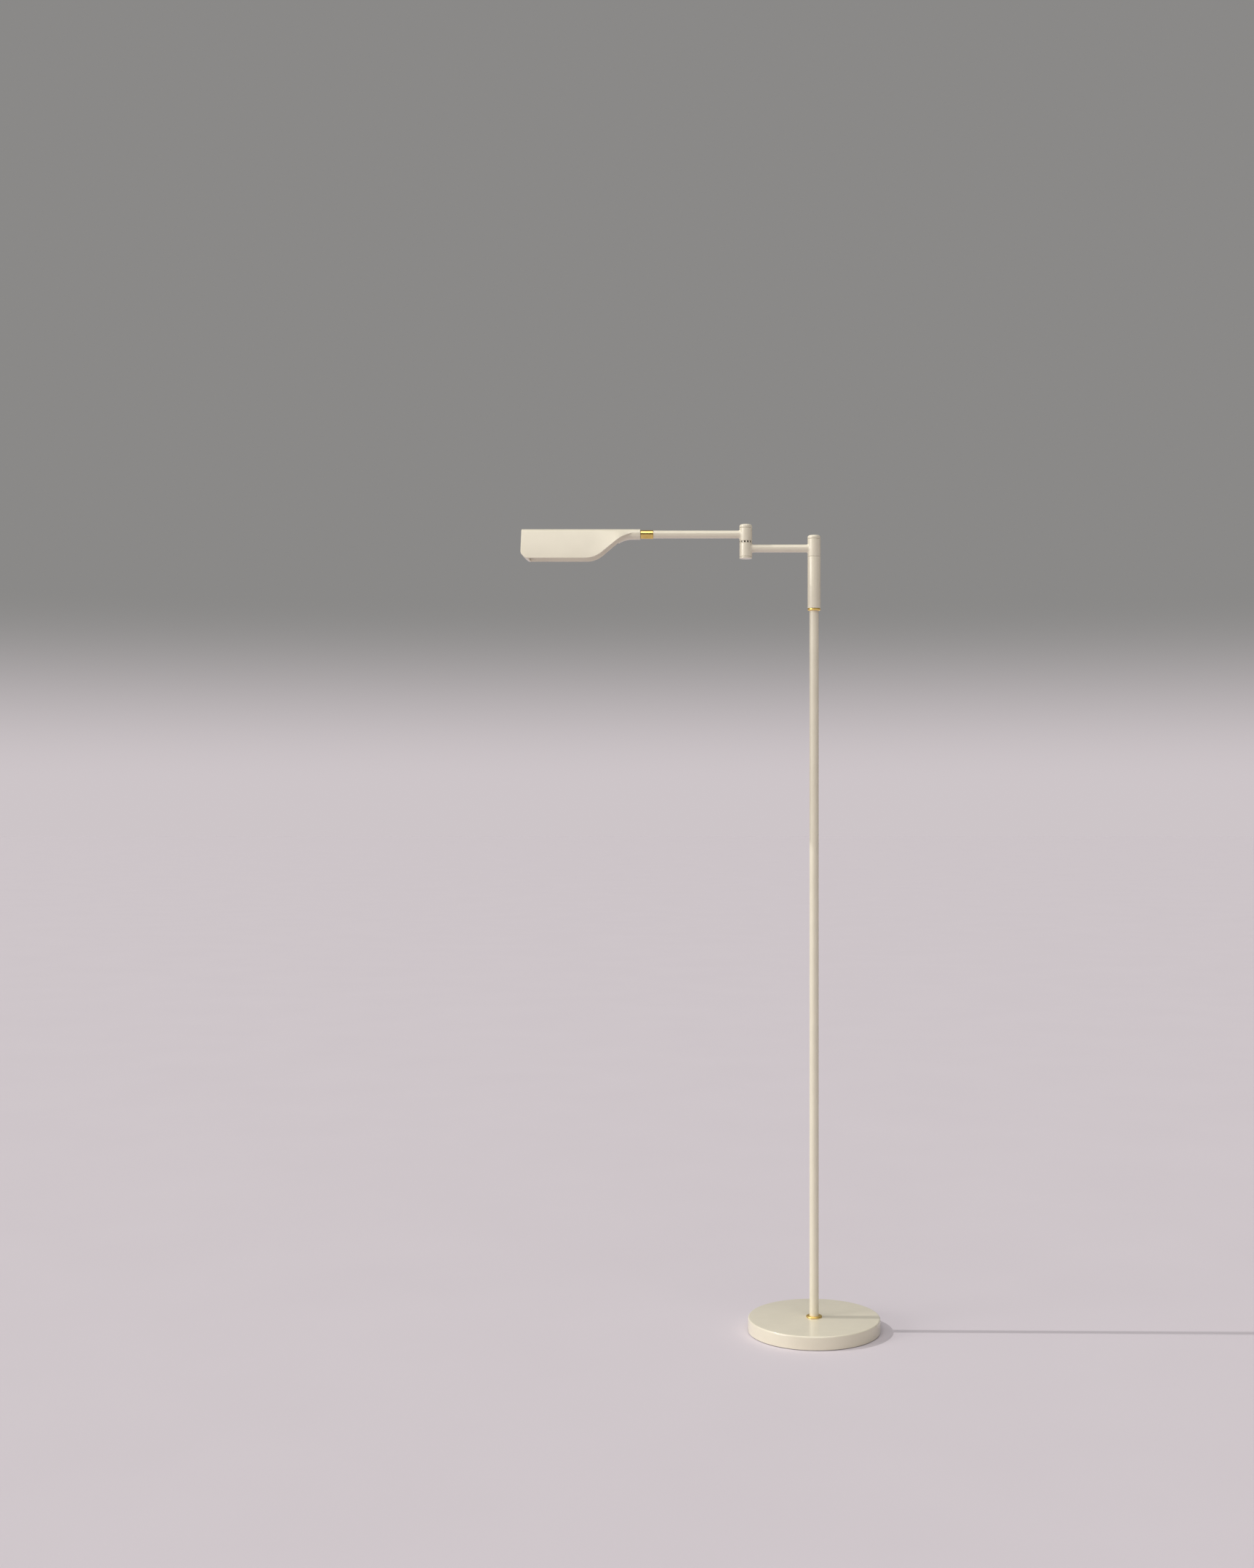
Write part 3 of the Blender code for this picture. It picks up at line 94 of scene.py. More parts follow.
# Arms and their joints.
ARM_RADIUS = 0.0068
ARM_BORE = 0.0056
FLARE = 0.0015
FLARE_LENGTH = 0.0030
WELD_DEPTH = 0.00005
BARREL_WALL = 0.0024
BARREL_FLOOR = 0.0034
BARREL_BEVEL = 0.0005
CAP_SPIGOT = 0.0040
CAP_CROWN = 0.0007
HUB_CAP_EDGE = 0.0034
ELBOW_CAP_EDGE = 0.0032
ELBOW_FOOT_EDGE = 0.0010
COLLAR_EDGE = 0.0006
SPACER_WALL = 0.0012
SPACER_RIM = 0.0004
SPACER_OPENINGS = 12
SPACER_PHASE = math.radians(-11.7)

# Head: walls and rounds.
SHADE_HALF_WIDTH = 0.0270
SHADE_WALL = 0.0020
RIM_ROUND = 0.0006
WING_TAPER = 0.156
NECK_RADIUS = 0.00905
NECK_EDGE_RISE = 0.0035
NECK_BEVEL = 0.0004
SHOULDER_START_X = -0.3130
SHOULDER_END_X = -0.3450

# Head: the cut-off corner under the tip, and the chin that closes it.
TIP_CUT = 0.0092
TIP_CUT_RADIUS = 0.0090
TIP_ROUND = 0.0011
CHIN_LIP = 0.0003
CHIN_REACH = 0.004
HOLLOW_CLEAR = 0.00002

# Head: the sweep of the side walls' lower edge up to the neck.
SWEEP_SLOPE = math.radians(40.2)
SWEEP_LOW_X = -0.3970
SWEEP_LOW_RADIUS = 0.045
SWEEP_HIGH_X = -0.3420
SWEEP_HIGH_RADIUS = 0.0588

# Head: the neck's underside, its lip and its bores.
DROOP_START_X = -0.3160
DROOP_RADIUS = 0.0441
LIP_X = -0.3400
LIP_ROUND = 0.0005
NECK_BORE = 0.0073
NECK_FLOOR = 0.0032
WASHER_POCKET = 0.0010
WIRE_RECESS = 0.0070
BORE_RUN_OUT = 0.0040
WIRE_STRAIGHT_END_X = -0.3240
WIRE_BEND_X, WIRE_BEND_DROP, WIRE_BEND_TALL = -0.3310, -0.0009, 0.0081
WIRE_PAST_LIP, WIRE_END_DROP, WIRE_END_TALL = 0.0025, -0.0045, 0.0112
BOSS_RADIUS = 0.0040
BOSS_OVERLAP = 0.001

# Places of the head, read off the frame.
HEAD_LOW, HEAD_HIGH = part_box("head_shell")
COLLAR_LOW, COLLAR_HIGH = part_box("swivel_collar")
AXIS_Z = (COLLAR_LOW[2] + COLLAR_HIGH[2]) / 2
TIP_X = HEAD_LOW[0]
NECK_END_X = HEAD_HIGH[0]
SHADE_BOTTOM = HEAD_LOW[2]

# ---- stage ------------------------------------------------------------------------------
FLOOR_HALF = 30.0
FLOOR_COLOUR = (0.66, 0.61, 0.65)
FLOOR_LOW, FLOOR_HIGH = (0.645, 0.595, 0.640), (0.655, 0.605, 0.650)
LIGHT_WARM = (1.0, 0.98, 0.95)
LIGHT_NEUTRAL = (1.0, 0.99, 0.97)
WALL_GLOW = (0.612, 0.560, 0.580)
WALL_GREY = (0.255, 0.250, 0.245)
ROOM_DARK = (0.135, 0.125, 0.110)
ROOM_BRIGHT = (0.68, 0.67, 0.66)
ROOM_TOP = (0.34, 0.335, 0.33)


# ---- node helpers -----------------------------------------------------------------------
NOISE_LOW, NOISE_HIGH = 0.3, 0.7       # the part of a noise's range that is used


def new_material(name, colour, roughness, metallic=0.0):
    """A material and its Principled shader, before any texture is put on."""
    material = bpy.data.materials.new(name)
    material.use_nodes = True
    shader = material.node_tree.nodes["Principled BSDF"]
    shader.inputs["Base Color"].default_value = (*colour, 1.0)
    shader.inputs["Roughness"].default_value = roughness
    shader.inputs["Metallic"].default_value = metallic
    return material, shader


def noise(material, scale, detail=2.0, stretch=(1.0, 1.0, 1.0)):
    """A noise texture in metres, so the grain has the same real size on every piece."""
    nodes, links = material.node_tree.nodes, material.node_tree.links
    place = nodes.new("ShaderNodeTexCoord")
    mapping = nodes.new("ShaderNodeMapping")
    mapping.inputs["Scale"].default_value = stretch
    texture = nodes.new("ShaderNodeTexNoise")
    texture.inputs["Scale"].default_value = scale
    texture.inputs["Detail"].default_value = detail
    links.new(place.outputs["Object"], mapping.inputs["Vector"])
    links.new(mapping.outputs["Vector"], texture.inputs["Vector"])
    return texture.outputs["Fac"]


def vary_colour(material, shader, source, low, high):
    """Let the colour drift between two tones with a noise."""
    nodes, links = material.node_tree.nodes, material.node_tree.links
    ramp = nodes.new("ShaderNodeValToRGB")
    ramp.color_ramp.elements[0].position = NOISE_LOW
    ramp.color_ramp.elements[0].color = (*low, 1.0)
    ramp.color_ramp.elements[1].position = NOISE_HIGH
    ramp.color_ramp.elements[1].color = (*high, 1.0)
    links.new(source, ramp.inputs["Fac"])
    links.new(ramp.outputs["Color"], shader.inputs["Base Color"])


def vary_roughness(material, shader, source, low, high):
    """Let the roughness drift between two values with a noise."""
    nodes, links = material.node_tree.nodes, material.node_tree.links
    spread = nodes.new("ShaderNodeMapRange")
    spread.inputs["From Min"].default_value = NOISE_LOW
    spread.inputs["From Max"].default_value = NOISE_HIGH
    spread.inputs["To Min"].default_value = low
    spread.inputs["To Max"].default_value = high
    links.new(source, spread.inputs["Value"])
    links.new(spread.outputs["Result"], shader.inputs["Roughness"])


def add_bump(material, shader, source, height, strength=1.0):
    """Fine relief in the shading only; its height is in metres."""
    nodes, links = material.node_tree.nodes, material.node_tree.links
    bump = nodes.new("ShaderNodeBump")
    bump.inputs["Distance"].default_value = height
    bump.inputs["Strength"].default_value = strength
    links.new(source, bump.inputs["Height"])
    links.new(bump.outputs["Normal"], shader.inputs["Normal"])


# ---- materials --------------------------------------------------------------------------
def cream_paint(name="cream_paint", coat=0.25, coat_roughness=0.16):
    """Satin powder coat: faint orange peel, and very slight changes of tone and gloss."""
    low, high = (0.745, 0.690, 0.556), (0.785, 0.728, 0.588)
    material, shader = new_material(name, high, 0.34)
    shader.inputs["Coat Weight"].default_value = coat
    shader.inputs["Coat Roughness"].default_value = coat_roughness
    vary_colour(material, shader, noise(material, 22.0), low, high)
    vary_roughness(material, shader, noise(material, 60.0, 3.0), 0.30, 0.40)
    add_bump(material, shader, noise(material, 850.0), 0.00003, 0.6)
    return material


def brass(name, stretch, colours, roughness):
    """Turned brass with fine turning marks round its axis."""
    material, shader = new_material(name, colours[1], roughness[0], 1.0)
    vary_colour(material, shader, noise(material, 90.0), *colours)
    vary_roughness(material, shader, noise(material, 140.0, 3.0, stretch), *roughness)
    add_bump(material, shader, noise(material, 60.0, 3.0, stretch), 0.000006, 0.5)
    return material


def cast_iron():
    low, high = (0.05, 0.05, 0.055), (0.11, 0.11, 0.115)
    material, shader = new_material("cast_iron", low, 0.7, 0.6)
    vary_colour(material, shader, noise(material, 120.0, 5.0), low, high)
    vary_roughness(material, shader, noise(material, 200.0, 3.0), 0.55, 0.80)
    add_bump(material, shader, noise(material, 450.0, 5.0), 0.0002, 0.8)
    return material


def zinc_steel():
    low, high = (0.50, 0.51, 0.53), (0.66, 0.66, 0.68)
    material, shader = new_material("zinc_steel", high, 0.3, 1.0)
    vary_colour(material, shader, noise(material, 160.0, 4.0), low, high)
    vary_roughness(material, shader, noise(material, 260.0, 3.0), 0.24, 0.42)
    add_bump(material, shader, noise(material, 900.0, 3.0), 0.00001, 0.5)
    return material


def aluminium():
    low, high = (0.68, 0.68, 0.69), (0.80, 0.80, 0.81)
    material, shader = new_material("aluminium", high, 0.35, 1.0)
    vary_colour(material, shader, noise(material, 40.0, 3.0, (1.0, 30.0, 1.0)), low, high)
    vary_roughness(material, shader, noise(material, 60.0, 3.0, (1.0, 40.0, 1.0)), 0.28, 0.45)
    add_bump(material, shader, noise(material, 60.0, 3.0, (1.0, 60.0, 1.0)), 0.00001, 0.5)
    return material


def black_nylon():
    low, high = (0.008, 0.008, 0.008), (0.014, 0.014, 0.015)
    material, shader = new_material("black_nylon", low, 0.14)
    vary_colour(material, shader, noise(material, 80.0), low, high)
    vary_roughness(material, shader, noise(material, 150.0), 0.10, 0.20)
    add_bump(material, shader, noise(material, 1200.0), 0.00001, 0.3)
    return material


def grey_foam():
    low, high = (0.045, 0.045, 0.047), (0.085, 0.085, 0.088)
    material, shader = new_material("grey_foam", low, 0.9)
    vary_colour(material, shader, noise(material, 700.0, 4.0), low, high)
    vary_roughness(material, shader, noise(material, 300.0), 0.84, 0.96)
    add_bump(material, shader, noise(material, 1400.0, 4.0), 0.0002, 0.9)
    return material


def opal_acrylic():
    """Unlit opal sheet: milky, slightly translucent, with a fine matt grain."""
    low, high = (0.86, 0.86, 0.83), (0.90, 0.90, 0.87)
    material, shader = new_material("opal_acrylic", high, 0.34)
    shader.inputs["Subsurface Weight"].default_value = 0.25
    shader.inputs["Subsurface Radius"].default_value = (0.004, 0.004, 0.004)
    vary_colour(material, shader, noise(material, 50.0), low, high)
    vary_roughness(material, shader, noise(material, 400.0), 0.28, 0.40)
    add_bump(material, shader, noise(material, 2000.0), 0.00001, 0.4)
    return material


def board_white():
    low, high = (0.80, 0.81, 0.80), (0.88, 0.89, 0.88)
    material, shader = new_material("board_white", high, 0.4)
    vary_colour(material, shader, noise(material, 90.0, 3.0), low, high)
    vary_roughness(material, shader, noise(material, 200.0), 0.35, 0.50)
    add_bump(material, shader, noise(material, 900.0), 0.00001, 0.4)
    return material


def lead_white():
    low, high = (0.70, 0.70, 0.68), (0.78, 0.78, 0.76)
    material, shader = new_material("lead_white", high, 0.5)
    vary_colour(material, shader, noise(material, 90.0), low, high)
    vary_roughness(material, shader, noise(material, 250.0), 0.45, 0.60)
    add_bump(material, shader, noise(material, 1100.0), 0.00002, 0.4)
    return material


def make_materials():
    """One material for each slot, a glossier cream for the base and a darker collar brass."""
    return {
        "cream_paint": cream_paint(),
        "cream_gloss": cream_paint("cream_gloss", 0.60, 0.07),
        "brass": brass("brass", (1.0, 1.0, 40.0), ((0.97, 0.69, 0.21), (1.0, 0.75, 0.26)),
                       (0.34, 0.42)),
        "brass_collar": brass("brass_collar", (40.0, 1.0, 1.0),
                              ((0.72, 0.50, 0.15), (0.86, 0.63, 0.22)), (0.12, 0.22)),
        "cast_iron": cast_iron(),
        "zinc_steel": zinc_steel(),
        "aluminium": aluminium(),
        "black_nylon": black_nylon(),
        "grey_foam": grey_foam(),
        "opal_acrylic": opal_acrylic(),
        "board_white": board_white(),
        "lead_white": lead_white(),
    }


# ---- shape helpers ----------------------------------------------------------------------
SHARP_ANGLE = 30.0                     # degrees between faces above which an edge is sharp
WELD_DISTANCE = 1e-7


def arc_points(centre, radius, start, end, steps):
    """Points along a circle's arc in a plane, both ends included."""
    return [(centre[0] + radius * math.cos(start + (end - start) * i / steps),
             centre[1] + radius * math.sin(start + (end - start) * i / steps))
            for i in range(steps + 1)]


def soften(corners, closed=True, steps=FILLET_STEPS):
    """An outline whose corners may carry a fillet radius as their third value."""
    points = []
    count = len(corners)
    for index, corner in enumerate(corners):
        here = Vector(corner[:2])
        at_end = not closed and index in (0, count - 1)
        if len(corner) < 3 or at_end:
            points.append(tuple(here))
            continue
        before = (Vector(corners[index - 1][:2]) - here).normalized()
        after = (Vector(corners[(index + 1) % count][:2]) - here).normalized()
        half = before.angle(after) / 2
        reach = corner[2] / math.tan(half)
        centre = here + (before + after).normalized() * corner[2] / math.sin(half)
        first = here + before * reach - centre
        last = here + after * reach - centre
        sweep = math.atan2(first.cross(last), first.dot(last))
        start = math.atan2(first.y, first.x)
        points += arc_points(centre, corner[2], start, start + sweep, steps)
    return points


def skin(shape, loops, wrap=False):
    """Faces between equal loops of points, or between a loop and a single point."""
    pairs = list(zip(loops, loops[1:]))
    if wrap:
        pairs.append((loops[-1], loops[0]))
    for one, two in pairs:
        count = max(len(one), len(two))
        for index in range(count):
            after = (index + 1) % count
            corners = [one[index % len(one)], one[after % len(one)],
                       two[after % len(two)], two[index % len(two)]]
            shape.faces.new(list(dict.fromkeys(corners)))


def loft(rings, wrap=False):
    """A skin over rings of equal count, closed at both ends or joined into a loop."""
    shape = bmesh.new()
    loops = [[shape.verts.new(point) for point in ring] for ring in rings]
    skin(shape, loops, wrap)
    if not wrap:
        shape.faces.new(loops[0])
        shape.faces.new(loops[-1])
    return shape


def turned(profile, centre=(0.0, 0.0, 0.0), axis="Z", segments=ROUND):
    """Turn a profile of (radius, distance) about an axis through a point."""
    shape = bmesh.new()
    loops = []
    for radius, along in profile:
        count = 1 if radius == 0.0 else segments
        ring = []
        for index in range(count):
            turn = 2 * math.pi * index / segments
            across = (radius * math.cos(turn), radius * math.sin(turn))
            local = {"Z": (across[0], across[1], along), "X": (along, across[0], across[1]),
                     "Y": (across[0], along, across[1])}[axis]
            ring.append(shape.verts.new(Vector(centre) + Vector(local)))
        loops.append(ring)
    skin(shape, loops, wrap=profile[0][0] > 0.0)
    return shape


def to_object(name, shape):
    """Weld a shape, turn its faces outward and make it a smooth-shaded object."""
    bmesh.ops.remove_doubles(shape, verts=shape.verts, dist=WELD_DISTANCE)
    bmesh.ops.recalc_face_normals(shape, faces=shape.faces)
    mesh = bpy.data.meshes.new(name)
    shape.to_mesh(mesh)
    shape.free()
    mesh.shade_smooth()
    mesh.set_sharp_from_angle(angle=math.radians(SHARP_ANGLE))
    piece = bpy.data.objects.new(name, mesh)
    bpy.context.collection.objects.link(piece)
    return piece


def add_piece(name, shape, material, body, slot, *nodes):
    """A finished piece that stands for CAD nodes and moves with their body."""
    piece = to_object(name, shape)
    piece.data.materials.append(material)
    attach(piece, body)
    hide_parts(*nodes)
    return piece


def apply_cuts(piece, cutters):
    """Boolean-subtract each cutter from a piece and keep only the result."""
    for cutter in cutters:
        modifier = piece.modifiers.new("cut", "BOOLEAN")
        modifier.operation = "DIFFERENCE"
        modifier.solver = "EXACT"
        modifier.object = cutter
    bpy.context.view_layer.update()
    depsgraph = bpy.context.evaluated_depsgraph_get()
    mesh = bpy.data.meshes.new_from_object(piece.evaluated_get(depsgraph))
    piece.modifiers.clear()
    piece.data = mesh
    for cutter in cutters:
        bpy.data.objects.remove(cutter, do_unlink=True)


def round_node(node):
    """Centre, radius, lowest and highest point of a CAD node that is turned about Z."""
    low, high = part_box(node)
    centre = ((low[0] + high[0]) / 2, (low[1] + high[1]) / 2, 0.0)
    return centre, (high[0] - low[0]) / 2, low[2], high[2]


# ---- base and pole ----------------------------------------------------------------------
def build_base(materials):
    """Cover, brass foot ring, foam pad and cord grommet."""
    _, radius, low, high = round_node("base_cover")
    inner = radius - COVER_WALL
    cover = turned(soften([
        (NIPPLE_HOLE, high - COVER_WALL), (NIPPLE_HOLE, high),
        (radius, high, COVER_EDGE), (radius, low, COVER_FOOT_EDGE),
        (inner, low), (inner, high - COVER_WALL)]), segments=BASE_ROUND)
    add_piece("base_cover_fine", cover, materials["cream_gloss"], "stand", "cream_paint",
              "base_cover")

    _, radius, low, high = round_node("foot_ring")
    bore = round_node("pole_tube")[1] + RING_GAP
    ring = turned(soften([
        (bore, low), (radius, low, FOOT_RING_LOW_EDGE), (radius, high, FOOT_RING_HIGH_EDGE),
        (bore, high, CRISP)]))
    add_piece("foot_ring_fine", ring, materials["brass"], "stand", "brass", "foot_ring")

    _, radius, low, high = round_node("floor_pad")
    pad = turned(soften([(0.0, low), (radius, low, PAD_EDGE), (radius, high, PAD_EDGE),
                         (0.0, high)], closed=False), segments=BASE_ROUND)
    add_piece("floor_pad_fine", pad, materials["grey_foam"], "stand", "grey_foam", "floor_pad")

    low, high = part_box("cord_grommet")
    radius = (high[0] - low[0]) / 2
    centre = (0.0, 0.0, (low[2] + high[2]) / 2)
    neck = radius * GROMMET_NECK
    flange = high[1] - GROMMET_FLANGE
    grommet = turned(soften([
        (GROMMET_BORE, low[1]), (neck, low[1]), (neck, flange), (radius, flange, CRISP),
        (radius, high[1], GROMMET_EDGE), (GROMMET_BORE, high[1], GROMMET_BORE_EDGE)]),
        centre, "Y")
    add_piece("cord_grommet_fine", grommet, materials["black_nylon"], "stand", "black_nylon",
              "cord_grommet")


def build_pole(materials):
    """The pole, the brass ring under the sleeve, and the sleeve itself."""
    _, radius, low, high = round_node("pole_tube")
    inner = radius - POLE_WALL
    pole = turned([(inner, low), (radius, low), (radius, high), (inner, high)])
    add_piece("pole_fine", pole, materials["cream_paint"], "stand", "cream_paint", "pole_tube")

    _, ring_radius, low, high = round_node("sleeve_ring")
    bore = radius + RING_GAP
    ring = turned(soften([
        (bore, low, CRISP), (ring_radius, low, SLEEVE_RING_EDGE), (ring_radius, high),
        (bore, high)]))
    add_piece("sleeve_ring_fine", ring, materials["brass"], "stand", "brass", "sleeve_ring")

    _, radius, low, high = round_node("upper_sleeve")
    inner = radius - SLEEVE_WALL
    sleeve = turned(soften([
        (inner, low), (radius, low, CRISP), (radius, high, CRISP), (inner, high)]))
    add_piece("upper_sleeve_fine", sleeve, materials["cream_paint"], "stand", "cream_paint",
              "upper_sleeve")


# ---- arms -------------------------------------------------------------------------------
FACES_UP = 0.9                         # the least z of the normal of a face that faces up


def barrel(node, opening_up):
    """A cup-shaped joint barrel with softened edges, open at its top or at its bottom."""
    centre, radius, low, high = round_node(node)
    inner = radius - BARREL_WALL
    height = high - low
    corners = [(NIPPLE_HOLE, 0.0), (NIPPLE_HOLE, BARREL_FLOOR), (inner, BARREL_FLOOR),
               (inner, height), (radius - BARREL_BEVEL, height, BEVEL_EASE),
               (radius, height - BARREL_BEVEL, CRISP), (radius, 0.0, CRISP)]
    profile = [(r, low + (z if opening_up else height - z)) for r, z in soften(corners)]
    return turned(profile, centre)


def domed_cap(node, edge_radius):
    """A barrel's cap: a spigot below, a bevelled seat and a slightly raised crown."""
    centre, radius, low, high = round_node(node)
    spigot = radius - BARREL_WALL - CAD_GAP
    seat = low + CAP_SPIGOT
    profile = soften([
        (0.0, low), (spigot, low), (spigot, seat),
        (radius - BARREL_BEVEL, seat, BEVEL_EASE), (radius, seat + BARREL_BEVEL, CRISP),
        (radius, high - CAP_CROWN, edge_radius), (0.0, high)], closed=False)
    return turned(profile, centre)


def arm(axis_z, start, end):
    """A hollow arm along X whose ends flare and follow the barrels they are welded to.

    Each end is (barrel centre x, barrel radius); a radius of 0 makes a plain square end.
    """
    toward_end = 1.0 if end[0] > start[0] else -1.0

    def end_ring(x, radius, way, tube_radius, away):
        ring = []
        for index in range(ROUND):
            turn = 2 * math.pi * index / ROUND
            y, up = tube_radius * math.cos(turn), tube_radius * math.sin(turn)
            surface = math.sqrt(radius ** 2 - y ** 2) - WELD_DEPTH if radius else 0.0
            ring.append((x + way * (surface + away), y, axis_z + up))
        return ring

    def outer_rings(x, radius, way):
        if not radius:
            return [end_ring(x, radius, way, ARM_RADIUS, 0.0)]
        rings = []
        for step in range(FILLET_STEPS + 1):
            away = FLARE_LENGTH * step / FILLET_STEPS
            swell = 1 - math.sqrt(1 - (1 - away / FLARE_LENGTH) ** 2)
            rings.append(end_ring(x, radius, way, ARM_RADIUS + FLARE * swell, away))
        return rings

    first = outer_rings(start[0], start[1], toward_end)
    last = outer_rings(end[0], end[1], -toward_end)
    inner = [end_ring(end[0], end[1], -toward_end, ARM_BORE, 0.0),
             end_ring(start[0], start[1], toward_end, ARM_BORE, 0.0)]
    return loft(first + last[::-1] + inner, wrap=True)


def castellated_ring(node):
    """The elbow's spacer ring: a thin rim with square teeth that leave a row of windows."""
    centre, radius, low, high = round_node(node)
    segments = SPACER_OPENINGS * 2 * WINDOW_STEPS
    inner = radius - SPACER_WALL
    shape = turned([(inner, low), (radius, low), (radius, low + SPACER_RIM),
                    (inner, low + SPACER_RIM)], segments=segments)
    bmesh.ops.recalc_face_normals(shape, faces=shape.faces)
    top = [face for face in shape.faces if face.normal.z > FACES_UP]
    for index in range(SPACER_OPENINGS):
        middle = -math.pi / 2 + math.pi * (2 * index + 1) / SPACER_OPENINGS
        reach = math.cos(math.pi / (2 * SPACER_OPENINGS))
        direction = Vector((math.cos(middle), math.sin(middle), 0.0))
        tooth = [face for face in top
                 if face.is_valid and flat_direction(face).dot(direction) > reach]
        grown = bmesh.ops.extrude_face_region(shape, geom=tooth)
        bmesh.ops.delete(shape, geom=tooth, context="FACES_ONLY")
        for item in grown["geom"]:
            if isinstance(item, bmesh.types.BMVert):
                item.co.z = high
    bmesh.ops.rotate(shape, verts=shape.verts, cent=(0.0, 0.0, 0.0),
                     matrix=Matrix.Rotation(SPACER_PHASE, 3, "Z"))
    bmesh.ops.translate(shape, verts=shape.verts, vec=centre)
    return shape


def flat_direction(face):
    """The direction from the origin to a face's middle, seen from above."""
    centre = face.calc_center_median()
    return Vector((centre.x, centre.y, 0.0)).normalized()


def build_lower_arm(materials):
    """The hub on the post, the lower arm, and the elbow's lower half with its spacer ring."""
    paint = materials["cream_paint"]
    hub_centre, hub_radius = round_node("hub_barrel")[:2]
    elbow_centre, elbow_radius = round_node("elbow_lower_barrel")[:2]
    low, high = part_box("lower_arm_tube")
    axis_z = (low[2] + high[2]) / 2
    tube = arm(axis_z, (hub_centre[0], hub_radius), (elbow_centre[0], elbow_radius))
    add_piece("hub_fine", barrel("hub_barrel", True), paint, "lower_arm", "cream_paint",
              "hub_barrel")
    add_piece("hub_cap_fine", domed_cap("hub_cap", HUB_CAP_EDGE), paint, "lower_arm",
              "cream_paint", "hub_cap")
    add_piece("lower_arm_fine", tube, paint, "lower_arm", "cream_paint", "lower_arm_tube")
    add_piece("elbow_lower_fine", barrel("elbow_lower_barrel", False), paint, "lower_arm",
              "cream_paint", "elbow_lower_barrel")

    centre, radius, low, high = round_node("elbow_lower_cap")
    seat = high - CAP_SPIGOT
    spigot = radius - BARREL_WALL - CAD_GAP
    foot = turned(soften([
        (0.0, low), (radius, low, ELBOW_FOOT_EDGE), (radius, seat - BARREL_BEVEL, CRISP),
        (radius - BARREL_BEVEL, seat, BEVEL_EASE), (spigot, seat), (spigot, high),
        (0.0, high)], closed=False), centre)
    add_piece("elbow_foot_fine", foot, paint, "lower_arm", "cream_paint", "elbow_lower_cap")
    add_piece("elbow_spacer_fine", castellated_ring("elbow_spacer_ring"), paint, "lower_arm",
              "cream_paint", "elbow_spacer_ring")

    centre, radius, low, high = round_node("elbow_inner_ring")
    inner = turned([(NIPPLE_HOLE, low), (radius, low), (radius, high), (NIPPLE_HOLE, high)],
                   centre)
    add_piece("elbow_inner_fine", inner, materials["black_nylon"], "lower_arm", "black_nylon",
              "elbow_inner_ring")


def build_upper_arm(materials):
    """The elbow's upper half, the upper arm and the brass swivel collar."""
    paint = materials["cream_paint"]
    elbow_centre, elbow_radius = round_node("elbow_upper_barrel")[:2]
    end_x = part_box("upper_arm_tube")[0][0]
    tube = arm(AXIS_Z, (elbow_centre[0], elbow_radius), (end_x, 0.0))
    add_piece("elbow_upper_fine", barrel("elbow_upper_barrel", True), paint, "upper_arm",
              "cream_paint", "elbow_upper_barrel")
    add_piece("elbow_cap_fine", domed_cap("elbow_upper_cap", ELBOW_CAP_EDGE), paint,
              "upper_arm", "cream_paint", "elbow_upper_cap")
    add_piece("upper_arm_fine", tube, paint, "upper_arm", "cream_paint", "upper_arm_tube")

    radius = (COLLAR_HIGH[2] - COLLAR_LOW[2]) / 2
    shoulder = end_x - CAD_GAP
    spigot = ARM_BORE - CAD_GAP
    collar = turned(soften([
        (NIPPLE_HOLE, COLLAR_HIGH[0]), (spigot, COLLAR_HIGH[0]), (spigot, shoulder),
        (radius, shoulder, COLLAR_EDGE), (radius, COLLAR_LOW[0], COLLAR_EDGE),
        (NIPPLE_HOLE, COLLAR_LOW[0])]), (0.0, 0.0, AXIS_Z), "X")
    add_piece("swivel_collar_fine", collar, materials["brass_collar"], "upper_arm", "brass",
              "swivel_collar")


# ---- head -------------------------------------------------------------------------------
RIM_STEPS = 3
HALVINGS = 40
ON_NECK = 1.0001                       # how near the ridge's circle an edge counts as on it
WALL_SHARE = 0.8                       # thins the wall near the neck, where the side is short
RIM_SHARE = 0.45                       # of the wall that one rounded corner may take


def ease(value):
    """A smooth step from 0 to 1, flat at both ends."""
    value = min(1.0, max(0.0, value))
    return value * value * (3 - 2 * value)


def tip_outline(inset=0.0):
    """The cut-off corner under the tip as (x, z), from the upright end to the flat edge."""
    cut = TIP_CUT + inset * (math.sqrt(2) - 1)
    radius = TIP_CUT_RADIUS - inset
    end_x, low_z = TIP_X + inset, SHADE_BOTTOM + inset
    beyond = TIP_CUT_RADIUS
    return soften([(end_x, SHADE_BOTTOM + cut + beyond), (end_x, SHADE_BOTTOM + cut, radius),
                   (TIP_X + cut, low_z, radius), (TIP_X + cut + beyond, low_z)],
                  closed=False)[1:-1]


